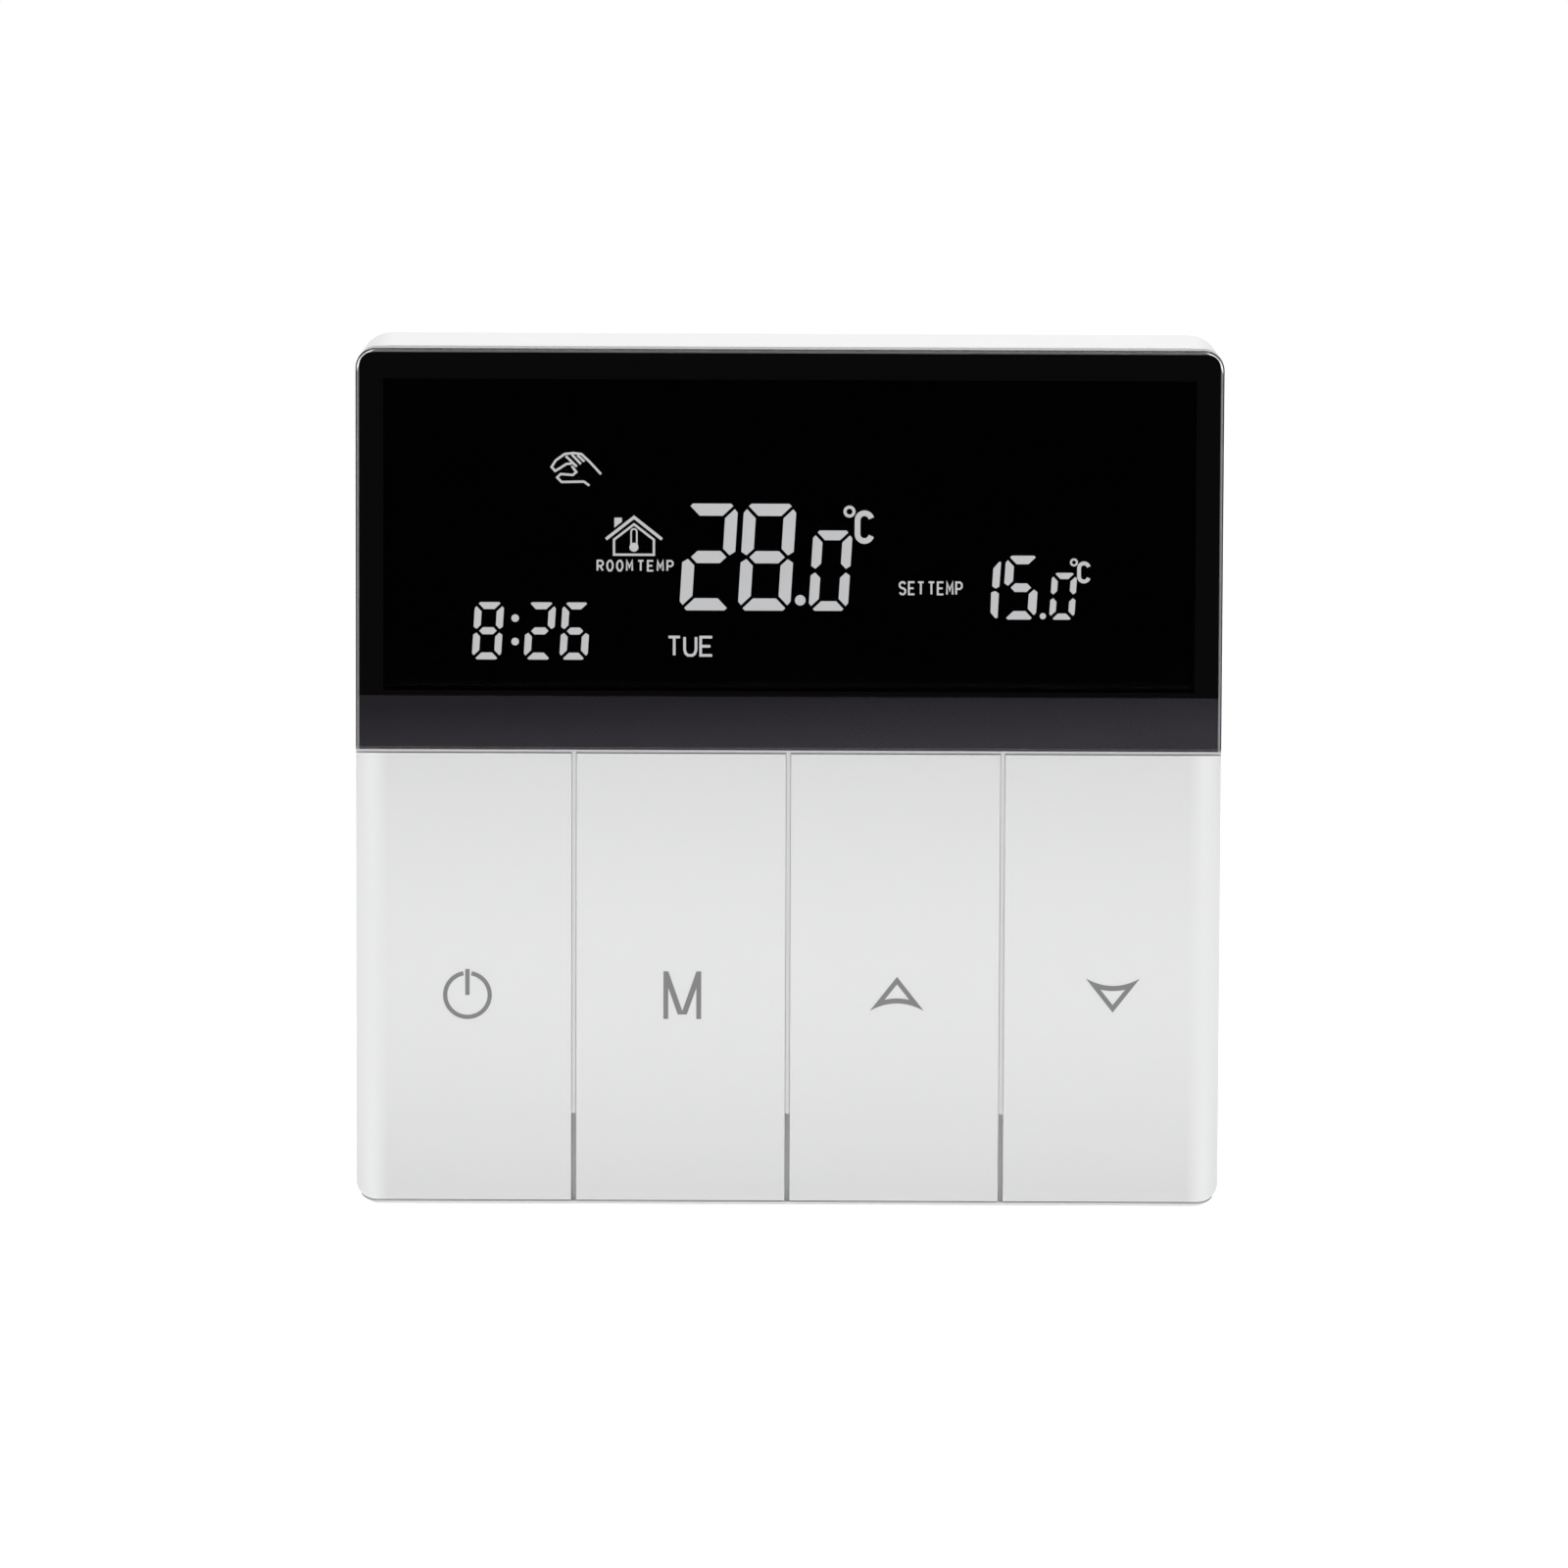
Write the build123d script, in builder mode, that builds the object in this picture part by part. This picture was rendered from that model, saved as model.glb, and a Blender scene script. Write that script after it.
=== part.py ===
from build123d import *
import os

os.makedirs("parts", exist_ok=True)

# Flush wall thermostat with a glossy display above four full-width rocker keys.
# Frame: origin in the middle of the wall plane, X right, Y into the wall, Z up. Millimetres.
# A name ending in _at is a distance in front of the wall plane, _depth one behind it.


def front(distance):
    """A sketch plane this far in front of the wall, extruding away from the wall."""
    return Plane.XZ.offset(distance)


def behind(distance):
    """A sketch plane this far behind the wall plane, extruding towards the room."""
    return Plane.XZ.offset(-distance)


# Overall size
face_width = 86.0
face_height = 86.0
face_at = 13.3

# Front housing
housing_corner = 3.3
housing_wall = 1.8
deck_thickness = 1.2
inner_width = face_width - 2 * housing_wall
inner_height = face_height - 2 * housing_wall

# Lens stack, from the front: clear plate, black print, adhesive tape
lens_thickness = 2.0
mask_thickness = 0.05
tape_thickness = 0.15
lens_corner = 2.0
lens_bevel = 0.15
lens_bottom = 2.9
mask_inset = 0.32
mask_top_inset = 0.55
mask_foot = 0.05
mask_corner = 1.35
tape_inset = 0.6
lens_back_at = face_at - lens_thickness
mask_back_at = lens_back_at - mask_thickness
rim_at = mask_back_at - tape_thickness
lens_height = face_height / 2 - lens_bottom
lens_middle = lens_bottom + lens_height / 2

# Blades: the crosspiece under the lens and the dividers between keys
blade = 0.4
blade_recess = 0.3
blade_low_recess = 1.05
blade_low_length = 8.8
lens_play = 0.05
crosspiece_top = lens_bottom - lens_play
crosspiece_height = 0.25
crosspiece_bottom = crosspiece_top - crosspiece_height
web_height = 4.05
web_top = crosspiece_bottom + web_height

# Keys
key_count = 4
outer_key_extra = 0.4
key_pitch = (face_width - 2 * outer_key_extra) / key_count
key_gap = 0.46
key_top_gap = 0.1
key_top = crosspiece_bottom - key_top_gap
lip = 0.3
lip_gap = 0.1
lip_recess = 0.2
lip_corner = 2.4
key_bottom = lip - face_height / 2 + lip_gap
key_height = key_top - key_bottom
blade_step = key_bottom + blade_low_length
key_recess = 0.05
key_depth = 2.15
key_face = 1.2
key_skirt = 0.9
key_corner = 2.0
key_edge = 0.2
key_face_at = face_at - key_recess
key_back_at = key_face_at - key_depth
key_face_back_at = key_face_at - key_face
key_drop = 0.9
deck_at = key_back_at - key_drop
deck_back_at = deck_at - deck_thickness
stop_wall_lap = 0.1
stop_wall_at = key_back_at + stop_wall_lap
stop_wall_gap = 0.3

# Key hinges: a bar behind each key snaps into two open brackets on the deck
hinge_radius = 0.8
hinge_play = 0.05
hinge_bore = hinge_radius + hinge_play
hinge_at = deck_at + hinge_bore
hinge_span = 16.0
bracket_width = 2.0
bracket_height = 3.4
bracket_gap = 0.2
hinge_z = key_top - key_skirt - bracket_gap - bracket_height / 2
bracket_throat = 1.25
hinge_web = 1.2

# Tact switches, 6 mm square, under a post behind each key
switch_side = 6.0
switch_body = 2.7
switch_floor = 1.0
switch_cover = 0.4
switch_gap = 0.3
switch_rise = 20.3
switch_z = key_bottom + switch_rise
switch_total = 5.0
board_thickness = 1.6
board_play = 1.2
board_corner = 1.5
board_width = inner_width - 2 * board_play
board_height = inner_height - 2 * board_play
board_at = deck_back_at - switch_gap - switch_cover - switch_body
board_back_at = board_at - board_thickness
dome_bend = 6.0
dome_sweep = 20.0
dome_sheet = 0.1
dome_height = 0.5
plunger_radius = 1.75
plunger_play = 0.05
plunger_flange = 0.5
plunger_flange_height = 0.6
plunger_edge = 0.2
plunger_room = 0.1
plunger_at = board_at + switch_total
cover_back_at = board_at + switch_body
cover_at = cover_back_at + switch_cover
well_floor_at = board_at + switch_floor
well_play = 0.1
well_radius = plunger_radius + plunger_flange + well_play
post_radius = 1.5
post_gap = 0.05
plunger_hole_play = 0.4
plunger_hole = plunger_radius + plunger_hole_play

# Hooks that keep each key from swinging outwards
hook_rise = 5.05
hook_z = key_bottom + hook_rise
hook_width = 4.0
hook_sheet = 0.9
hook_barb = 0.5
hook_barb_height = 0.7
hook_gap = 0.05
hook_slot_play = 0.4
hook_catch_play = 0.2
hook_tip_at = deck_back_at - hook_gap - hook_barb_height

# Display module
holder_wall = 0.7
holder_end_wall = 0.6
holder_play = 0.1
holder_pin_room = 0.5
holder_side_play = 0.2
holder_bottom = web_top + holder_side_play
holder_top = inner_height / 2 - holder_side_play
holder_middle = (holder_bottom + holder_top) / 2
holder_width = inner_width - 2 * holder_side_play
pocket_bottom = holder_bottom + holder_end_wall
pocket_top = holder_top - holder_end_wall
pocket_height = pocket_top - pocket_bottom
pocket_middle = (pocket_top + pocket_bottom) / 2
pocket_width = holder_width - 2 * holder_wall
cell_width = pocket_width - 2 * holder_play
cell_bottom = pocket_bottom + holder_pin_room
cell_height = pocket_top - holder_play - cell_bottom
cell_middle = cell_bottom + cell_height / 2
cell_thickness = 2.0
cell_ledge = 1.5
cell_play = 0.2
polariser = 0.15
polariser_inset = 0.1
cell_at = mask_back_at - polariser - cell_play
cell_back_at = cell_at - cell_thickness
holder_at = cell_at - cell_play
guide_thickness = 2.0
guide_back_at = cell_back_at - guide_thickness
peg_radius = 0.9
peg_play = 0.05
peg_reach = 0.5
peg_inset = 2.6
window_side_border = 2.7
window_top_border = 3.2
window_bottom_border = 5.7
window_width = face_width - 2 * window_side_border
window_bottom = lens_bottom + window_bottom_border
window_height = face_height / 2 - window_top_border - window_bottom
led_count = 3
led_width = 1.5
led_height = 3.0
led_pitch = 11.0
led_top_gap = 0.1
led_at = cell_back_at - led_top_gap
led_play = 0.1
pin_count = 24
pin_pitch = 2.54
pin_width = 0.5
pin_sheet = 0.3
pin_hole = 0.4
pin_reach = 0.5
led_x = -cell_width / 2 + led_width / 2
guide_left = led_x + led_width / 2 + holder_play
guide_right = cell_width / 2
guide_rise = 0.4
guide_bottom = cell_bottom + guide_rise
guide_top = cell_bottom + cell_height - holder_play

# Control board fixings and parts
boss_radius = 2.0
boss_side_room = 4.2
boss_end_room = 4.7
boss_x = inner_width / 2 - boss_side_room
boss_top_z = (crosspiece_bottom + web_top) / 2
boss_low_z = boss_end_room - inner_height / 2
screw_radius = 1.0
screw_play = 0.05
screw_clearance = 0.15
screw_head_radius = 2.1
screw_head = 1.5
screw_reach = 3.0
socket_cols = 5
socket_rows = 2
socket_pitch = 2.54
socket_height = 2.6
socket_border = 0.1
post_side = 0.64
post_play = 0.12
chip_side = 10.0
chip_height = 1.2
chip_standoff = 0.15
chip_z = 20.0
lead_width = 0.35
lead_pitch = 0.8
lead_count = 10
lead_reach = 0.9
lead_sheet = 0.2
cell_radius = 6.25
coin_height = 2.0
coin_x = -20.0
coin_z = -24.0
clip_sheet = 0.25
clip_width = 4.0
clip_gap = 0.1
clip_foot = 2.0
buzzer_side = 8.5
buzzer_height = 3.0
buzzer_z = -12.0
buzzer_hole = 1.2
bead_radius = 1.1
bead_x = -24.0
bead_end_room = 4.2
bead_z = bead_end_room - inner_height / 2
bead_rise = 1.8
bead_at = board_at + bead_rise
bead_lead = 0.25
bead_lead_pitch = 1.3

# Openings in the bottom wall of the housing
vent_count = 7
vent_pitch = 2.0
vent_width = 1.1
vent_length = 4.5
vent_at = 5.8
notch_width = 10.0
notch_height = 1.2

# Steel plate on the wall
plate_thickness = 1.0
plate_play = 0.3
plate_width = inner_width - 2 * plate_play
plate_height = inner_height - 2 * plate_play
plate_corner = 1.2
slot_spacing = 60.0
slot_width = 4.4
slot_length = 8.0
ear_width = 8.0
ear_at = 3.6
ear_x = 20.0
port_width = 15.0
port_height = 8.0

# Power box in the wall
box_side = 46.0
box_chamfer = 7.0
box_wall = 1.5
chamfer_shrink = 2 - 2**0.5
box_depth = 26.0
shelf_z = -10.4
shelf_depth = 8.0
lid_thickness = 1.2
lid_play = 0.1
box_screw_radius = 1.3
box_screw_head_radius = 2.2
box_screw_head = 1.3
box_screw_depth = 12.0
box_boss_radius = 2.8
box_boss_depth = 14.0
box_boss_places = [(-16.5, 16.5), (16.5, 16.5), (-19.0, -6.8), (19.0, -6.8)]
box_vent_x = 10.0
box_vent_z = 6.0
box_vent_count = 5
box_vent_pitch = 3.6
box_vent_length = 12.0
box_vent_width = 1.4
power_depth = 3.5
power_thickness = 1.6
power_play = 0.3
parts_depth = power_depth + power_thickness

# Terminal block
terminal_count = 6
terminal_pitch = 5.0
terminal_height = 10.0
terminal_top = -11.0
terminal_length = 15.4
terminal_wall = 0.5
terminal_edge = 0.4
terminal_middle = terminal_top - terminal_height / 2
cage_depth = 9.5
cage_length = 4.6
cage_height = 6.5
cage_wall = 0.6
cage_play = 0.1
clamp_screw_radius = 1.2
clamp_head_radius = 1.8
clamp_head = 2.4
clamp_well_radius = 2.0
clamp_head_depth = 15.2
clamp_slot = 0.6
clamp_slot_depth = 0.7
clamp_slot_turn = 20.0
clamp_screw_reach = 0.4

key_names = ["power_key", "mode_key", "up_key", "down_key"]
plunger_names = ["power_plunger", "mode_plunger", "up_plunger", "down_plunger"]
key_places = [(i - (key_count - 1) / 2) * key_pitch for i in range(key_count)]
divider_places = [(i - key_count / 2) * key_pitch for i in range(1, key_count)]
board_screw_places = [(x, z) for x in (-boss_x, boss_x) for z in (boss_top_z, boss_low_z)]
peg_places = [
    (x, z)
    for x in (-holder_width / 2 + peg_inset, holder_width / 2 - peg_inset)
    for z in (holder_bottom + peg_inset, holder_top - peg_inset)
]

# ---------------------------------------------------------------- front housing
with BuildPart() as front_housing:
    # side walls up to the deck
    with BuildSketch(front(0)):
        RectangleRounded(face_width, face_height, housing_corner)
        RectangleRounded(inner_width, inner_height, housing_corner - housing_wall, mode=Mode.SUBTRACT)
    extrude(amount=deck_at)
    # upper half carries on to the rim under the lens
    with BuildSketch(front(deck_at)):
        RectangleRounded(face_width, face_height, housing_corner)
        RectangleRounded(inner_width, inner_height, housing_corner - housing_wall, mode=Mode.SUBTRACT)
        with Locations((0, crosspiece_bottom - face_height / 2)):
            Rectangle(face_width, face_height, mode=Mode.SUBTRACT)
    extrude(amount=rim_at - deck_at)
    # web between the display and the keys
    with BuildSketch(front(deck_back_at)):
        with Locations((0, (crosspiece_bottom + web_top) / 2)):
            Rectangle(inner_width, web_height)
    extrude(amount=rim_at - deck_back_at)
    # deck behind the keys
    with BuildSketch(front(deck_back_at)):
        with Locations((0, (crosspiece_bottom - inner_height / 2) / 2)):
            Rectangle(inner_width, crosspiece_bottom + inner_height / 2)
    extrude(amount=deck_thickness)
    # low walls inside the outer keys' skirts
    stop_wall_outer = face_width / 2 - key_skirt - stop_wall_gap
    stop_wall_sheet = stop_wall_outer - inner_width / 2
    with BuildSketch(front(deck_at)):
        for side in (-1, 1):
            with Locations((side * (stop_wall_outer - stop_wall_sheet / 2), key_top - key_height / 2)):
                Rectangle(stop_wall_sheet, key_height - 2 * key_skirt)
    extrude(amount=stop_wall_at - deck_at)
    # crosspiece blade under the lens
    with BuildSketch(front(deck_at)):
        with Locations((0, (crosspiece_top + crosspiece_bottom) / 2)):
            Rectangle(face_width, crosspiece_height)
    extrude(amount=face_at - blade_recess - deck_at)
    # bottom lip under the keys
    with BuildSketch(front(deck_at)):
        RectangleRounded(face_width, face_height, lip_corner)
        with Locations((0, lip + lip_gap)):
            RectangleRounded(
                face_width + 2 * lip_gap,
                face_height + 2 * lip_gap,
                key_corner + lip_gap,
                mode=Mode.SUBTRACT,
            )
    extrude(amount=face_at - lip_recess - deck_at)
    # dividers between the keys, with a lower step near the bottom
    with BuildSketch(front(deck_at)):
        for x in divider_places:
            with Locations((x, (crosspiece_bottom + blade_step) / 2)):
                Rectangle(blade, crosspiece_bottom - blade_step)
    extrude(amount=face_at - blade_recess - deck_at)
    with BuildSketch(front(deck_at)):
        for x in divider_places:
            with Locations((x, (blade_step + lip - face_height / 2) / 2)):
                Rectangle(blade, blade_step - lip + face_height / 2)
    extrude(amount=face_at - blade_low_recess - deck_at)
    # hinge brackets: a bore for the bar and a throat open to the front
    bracket_at = key_face_back_at - bracket_gap
    bracket_x = hinge_span / 2 - bracket_width / 2 - bracket_gap
    with BuildSketch(front(deck_at)):
        for x in key_places:
            with Locations((x - bracket_x, hinge_z), (x + bracket_x, hinge_z)):
                Rectangle(bracket_width, bracket_height)
    extrude(amount=bracket_at - deck_at)
    with BuildSketch(Plane.YZ.offset(-inner_width / 2)):
        with Locations((-hinge_at, hinge_z)):
            Circle(hinge_bore)
    extrude(amount=inner_width, mode=Mode.SUBTRACT)
    with BuildSketch(front(hinge_at)):
        for x in key_places:
            with Locations((x, hinge_z)):
                Rectangle(hinge_span + bracket_width, bracket_throat)
    extrude(amount=bracket_at - hinge_at, mode=Mode.SUBTRACT)
    # bosses for the control board
    with BuildSketch(front(board_at)):
        with Locations(*board_screw_places):
            Circle(boss_radius)
    extrude(amount=deck_back_at - board_at)
    with BuildSketch(front(board_at)):
        with Locations(*board_screw_places):
            Circle(screw_radius + screw_play)
    extrude(amount=screw_reach + screw_play, mode=Mode.SUBTRACT)
    # holes in the deck for the plungers and the hooks
    with BuildSketch(front(deck_back_at)):
        for x in key_places:
            with Locations((x, switch_z)):
                Circle(plunger_hole)
            with Locations((x, hook_z + (hook_slot_play - hook_catch_play) / 2)):
                Rectangle(hook_width + 2 * hook_slot_play, hook_sheet + hook_slot_play + hook_catch_play)
    extrude(amount=deck_thickness, mode=Mode.SUBTRACT)
    # air slots under the temperature sensor and a notch for a screwdriver, in the bottom wall
    with BuildSketch(Plane.XY.offset(-face_height / 2)):
        for i in range(vent_count):
            with Locations((bead_x + (i - (vent_count - 1) / 2) * vent_pitch, -vent_at)):
                SlotOverall(vent_length, vent_width, rotation=90)
        with Locations((0, -notch_height / 2)):
            Rectangle(notch_width, notch_height)
    extrude(amount=housing_wall, mode=Mode.SUBTRACT)
front_housing.part.label = "front_housing"
export_step(front_housing.part, "parts/front_housing.step")

# ---------------------------------------------------------------- lens, print and tape
with BuildPart() as display_lens:
    with BuildSketch(front(lens_back_at)) as lens_outline:
        with Locations((0, lens_middle)):
            Rectangle(face_width, lens_height)
        fillet(lens_outline.vertices().group_by(Axis.Y)[-1], lens_corner)
    extrude(amount=lens_thickness)
    chamfer(display_lens.faces().sort_by(Axis.Y)[0].edges(), lens_bevel)
display_lens.part.label = "display_lens"
export_step(display_lens.part, "parts/display_lens.step")

with BuildPart() as lens_mask:
    with BuildSketch(front(mask_back_at)) as mask_outline:
        with Locations((0, lens_middle + (mask_foot - mask_top_inset) / 2)):
            Rectangle(face_width - 2 * mask_inset, lens_height - mask_top_inset - mask_foot)
        fillet(mask_outline.vertices().group_by(Axis.Y)[-1], mask_corner)
        with Locations((0, window_bottom + window_height / 2)):
            Rectangle(window_width, window_height, mode=Mode.SUBTRACT)
    extrude(amount=mask_thickness)
lens_mask.part.label = "lens_mask"
export_step(lens_mask.part, "parts/lens_mask.step")

with BuildPart() as lens_tape:
    with BuildSketch(front(rim_at)):
        with Locations((0, lens_middle)):
            RectangleRounded(
                face_width - 2 * tape_inset, lens_height - 2 * tape_inset, housing_corner - tape_inset
            )
        with Locations((0, (web_top + inner_height / 2) / 2)):
            RectangleRounded(
                inner_width, inner_height / 2 - web_top, housing_corner - housing_wall, mode=Mode.SUBTRACT
            )
    extrude(amount=tape_thickness)
lens_tape.part.label = "lens_tape"
export_step(lens_tape.part, "parts/lens_tape.step")

# ---------------------------------------------------------------- keys
for i in range(key_count):
    left = -face_width / 2 if i == 0 else key_places[i] - (key_pitch - key_gap) / 2
    right = face_width / 2 if i == key_count - 1 else key_places[i] + (key_pitch - key_gap) / 2
    width = right - left
    middle = (left + right) / 2
    with BuildPart() as key:
        with BuildSketch(front(key_back_at)) as outline:
            with Locations((middle, key_top - key_height / 2)):
                Rectangle(width, key_height)
            if i == 0:
                fillet(outline.vertices().group_by(Axis.Y)[0].sort_by(Axis.X)[0], key_corner)
            if i == key_count - 1:
                fillet(outline.vertices().group_by(Axis.Y)[0].sort_by(Axis.X)[-1], key_corner)
        extrude(amount=key_depth)
        fillet(key.faces().sort_by(Axis.Y)[0].edges(), key_edge)
        # hollow behind the face, leaving a skirt
        with BuildSketch(front(key_back_at)):
            with Locations((middle, key_top - key_height / 2)):
                Rectangle(width - 2 * key_skirt, key_height - 2 * key_skirt)
        extrude(amount=key_depth - key_face, mode=Mode.SUBTRACT)
        # hinge bar on a web behind the top of the face
        with BuildSketch(Plane.YZ.offset(key_places[i] - hinge_span / 2)):
            with Locations((-hinge_at, hinge_z)):
                Circle(hinge_radius)
        extrude(amount=hinge_span)
        web_length = hinge_span - 2 * (bracket_width + 2 * bracket_gap)
        with BuildSketch(front(hinge_at)):
            with Locations((key_places[i], hinge_z)):
                Rectangle(web_length, hinge_web)
        extrude(amount=key_face_back_at - hinge_at)
        # post over the tact switch
        with BuildSketch(front(plunger_at + post_gap)):
            with Locations((key_places[i], switch_z)):
                Circle(post_radius)
        extrude(amount=key_face_back_at - plunger_at - post_gap)
        # hook through the deck
        with BuildSketch(front(hook_tip_at)):
            with Locations((key_places[i], hook_z)):
                Rectangle(hook_width, hook_sheet)
        extrude(amount=key_face_back_at - hook_tip_at)
        with BuildSketch(front(hook_tip_at)):
            with Locations((key_places[i], hook_z - (hook_sheet + hook_barb) / 2)):
                Rectangle(hook_width, hook_barb)
        extrude(amount=hook_barb_height)
    key.part.label = key_names[i]
    export_step(key.part, f"parts/{key_names[i]}.step")

# ---------------------------------------------------------------- tact switches
switch_places = [(x, switch_z) for x in key_places]

with BuildPart() as switch_bodies:
    with BuildSketch(front(board_at)):
        with Locations(*switch_places):
            Rectangle(switch_side, switch_side)
    extrude(amount=switch_body)
    with BuildSketch(front(well_floor_at)):
        with Locations(*switch_places):
            Circle(well_radius)
    extrude(amount=switch_body - switch_floor, mode=Mode.SUBTRACT)
switch_bodies.part.label = "switch_bodies"
export_step(switch_bodies.part, "parts/switch_bodies.step")

with BuildPart() as switch_covers:
    with BuildSketch(front(cover_back_at)):
        with Locations(*switch_places):
            Rectangle(switch_side, switch_side)
            Circle(plunger_radius + plunger_play, mode=Mode.SUBTRACT)
    extrude(amount=switch_cover)
switch_covers.part.label = "switch_covers"
export_step(switch_covers.part, "parts/switch_covers.step")

with BuildPart() as switch_domes:
    for x in key_places:
        # half section to the right of the switch's own axis, turned about it
        with BuildSketch(Plane(origin=(x, 0, switch_z), x_dir=(1, 0, 0), z_dir=(0, 0, 1))):
            with BuildLine():
                inside = JernArc(
                    start=(0, -well_floor_at - dome_height + dome_sheet), tangent=(1, 0),
                    radius=dome_bend, arc_size=dome_sweep,
                )
                outside = JernArc(
                    start=(0, -well_floor_at - dome_height), tangent=(1, 0),
                    radius=dome_bend + dome_sheet, arc_size=dome_sweep,
                )
                Line(inside @ 0, outside @ 0)
                Line(inside @ 1, outside @ 1)
            make_face()
        revolve(axis=Axis((x, 0, switch_z), (0, 1, 0)), revolution_arc=360)
switch_domes.part.label = "switch_domes"
export_step(switch_domes.part, "parts/switch_domes.step")

for i in range(key_count):
    flange_at = cover_back_at - plunger_room
    with BuildPart() as plunger:
        with BuildSketch(front(flange_at - plunger_flange_height)):
            with Locations(switch_places[i]):
                Circle(plunger_radius + plunger_flange)
        extrude(amount=plunger_flange_height)
        with BuildSketch(front(flange_at - plunger_flange_height)):
            with Locations(switch_places[i]):
                Circle(plunger_radius)
        extrude(amount=plunger_at - flange_at + plunger_flange_height)
        chamfer(plunger.faces().sort_by(Axis.Y)[0].edges(), plunger_edge)
    plunger.part.label = plunger_names[i]
    export_step(plunger.part, f"parts/{plunger_names[i]}.step")

# ---------------------------------------------------------------- display module
with BuildPart() as lcd_panel:
    with BuildSketch(front(cell_back_at)):
        with Locations((0, cell_middle)):
            Rectangle(cell_width, cell_height)
    extrude(amount=cell_thickness / 2)
    with BuildSketch(front(cell_back_at + cell_thickness / 2)):
        with Locations((0, cell_middle + cell_ledge / 2)):
            Rectangle(cell_width, cell_height - cell_ledge)
    extrude(amount=cell_thickness / 2)
lcd_panel.part.label = "lcd_panel"
export_step(lcd_panel.part, "parts/lcd_panel.step")

with BuildPart() as polariser_film:
    with BuildSketch(front(cell_at)):
        with Locations((0, cell_middle + cell_ledge / 2)):
            Rectangle(cell_width - 2 * polariser_inset, cell_height - cell_ledge - 2 * polariser_inset)
    extrude(amount=polariser)
polariser_film.part.label = "polariser_film"
export_step(polariser_film.part, "parts/polariser_film.step")

with BuildPart() as backlight_guide:
    with BuildSketch(front(guide_back_at)):
        with Locations(((guide_left + guide_right) / 2, (guide_bottom + guide_top) / 2)):
            Rectangle(guide_right - guide_left, guide_top - guide_bottom)
    extrude(amount=guide_thickness)
backlight_guide.part.label = "backlight_guide"
export_step(backlight_guide.part, "parts/backlight_guide.step")

led_places = [(led_x, cell_middle + (i - (led_count - 1) / 2) * led_pitch) for i in range(led_count)]
with BuildPart() as backlight_leds:
    with BuildSketch(front(board_at)):
        with Locations(*led_places):
            Rectangle(led_width, led_height)
    extrude(amount=led_at - board_at)
backlight_leds.part.label = "backlight_leds"
export_step(backlight_leds.part, "parts/backlight_leds.step")

with BuildPart() as lcd_holder:
    with BuildSketch(front(board_at)) as holder_outline:
        with Locations((0, holder_middle)):
            Rectangle(holder_width, holder_top - holder_bottom)
        fillet(holder_outline.vertices().group_by(Axis.Y)[-1], housing_corner - housing_wall)
    extrude(amount=holder_at - board_at)
    with BuildSketch(front(guide_back_at)):
        with Locations((0, pocket_middle)):
            Rectangle(pocket_width, pocket_height)
    extrude(amount=holder_at - guide_back_at, mode=Mode.SUBTRACT)
    # a slot for the contact pins and pockets for the lamps, through the floor
    with BuildSketch(front(board_at)):
        with Locations((0, (pocket_bottom + guide_bottom) / 2)):
            Rectangle(pin_count * pin_pitch, guide_bottom - pocket_bottom)
        with Locations(*led_places):
            Rectangle(led_width + 2 * led_play, led_height + 2 * led_play)
    extrude(amount=guide_back_at - board_at, mode=Mode.SUBTRACT)
    # pegs through the control board
    with BuildSketch(front(board_back_at - peg_reach)):
        with Locations(*peg_places):
            Circle(peg_radius)
    extrude(amount=board_thickness + peg_reach)
lcd_holder.part.label = "lcd_holder"
export_step(lcd_holder.part, "parts/lcd_holder.step")

pin_z = cell_bottom - pin_sheet / 2
with BuildPart() as lcd_pins:
    with BuildSketch(front(board_back_at - pin_reach)):
        with Locations((0, pin_z)):
            with GridLocations(pin_pitch, pin_pitch, pin_count, 1):
                Rectangle(pin_width, pin_sheet)
    extrude(amount=cell_back_at + cell_thickness / 2 - board_back_at + pin_reach)
lcd_pins.part.label = "lcd_pins"
export_step(lcd_pins.part, "parts/lcd_pins.step")

# ---------------------------------------------------------------- control board
with BuildPart() as control_board:
    with BuildSketch(front(board_back_at)):
        RectangleRounded(board_width, board_height, board_corner)
        with Locations(*board_screw_places):
            Circle(screw_radius + screw_clearance, mode=Mode.SUBTRACT)
        with Locations(*peg_places):
            Circle(peg_radius + peg_play, mode=Mode.SUBTRACT)
        with Locations((0, pin_z)):
            with GridLocations(pin_pitch, pin_pitch, pin_count, 1):
                Circle(pin_hole, mode=Mode.SUBTRACT)
    extrude(amount=board_thickness)
control_board.part.label = "control_board"
export_step(control_board.part, "parts/control_board.step")

with BuildPart() as board_screws:
    with BuildSketch(front(board_back_at)):
        with Locations(*board_screw_places):
            Circle(screw_radius)
    extrude(amount=board_thickness + screw_reach)
    with BuildSketch(front(board_back_at - screw_head)):
        with Locations(*board_screw_places):
            Circle(screw_head_radius)
    extrude(amount=screw_head)
    fillet(board_screws.faces().group_by(Axis.Y)[-1].edges(), screw_head / 3)
    # cross recesses
    with BuildSketch(front(board_back_at - screw_head)):
        with Locations(*board_screw_places):
            Rectangle(screw_head_radius, screw_head_radius / 4)
            Rectangle(screw_head_radius / 4, screw_head_radius)
    extrude(amount=screw_head / 2, mode=Mode.SUBTRACT)
board_screws.part.label = "board_screws"
export_step(board_screws.part, "parts/board_screws.step")

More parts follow.
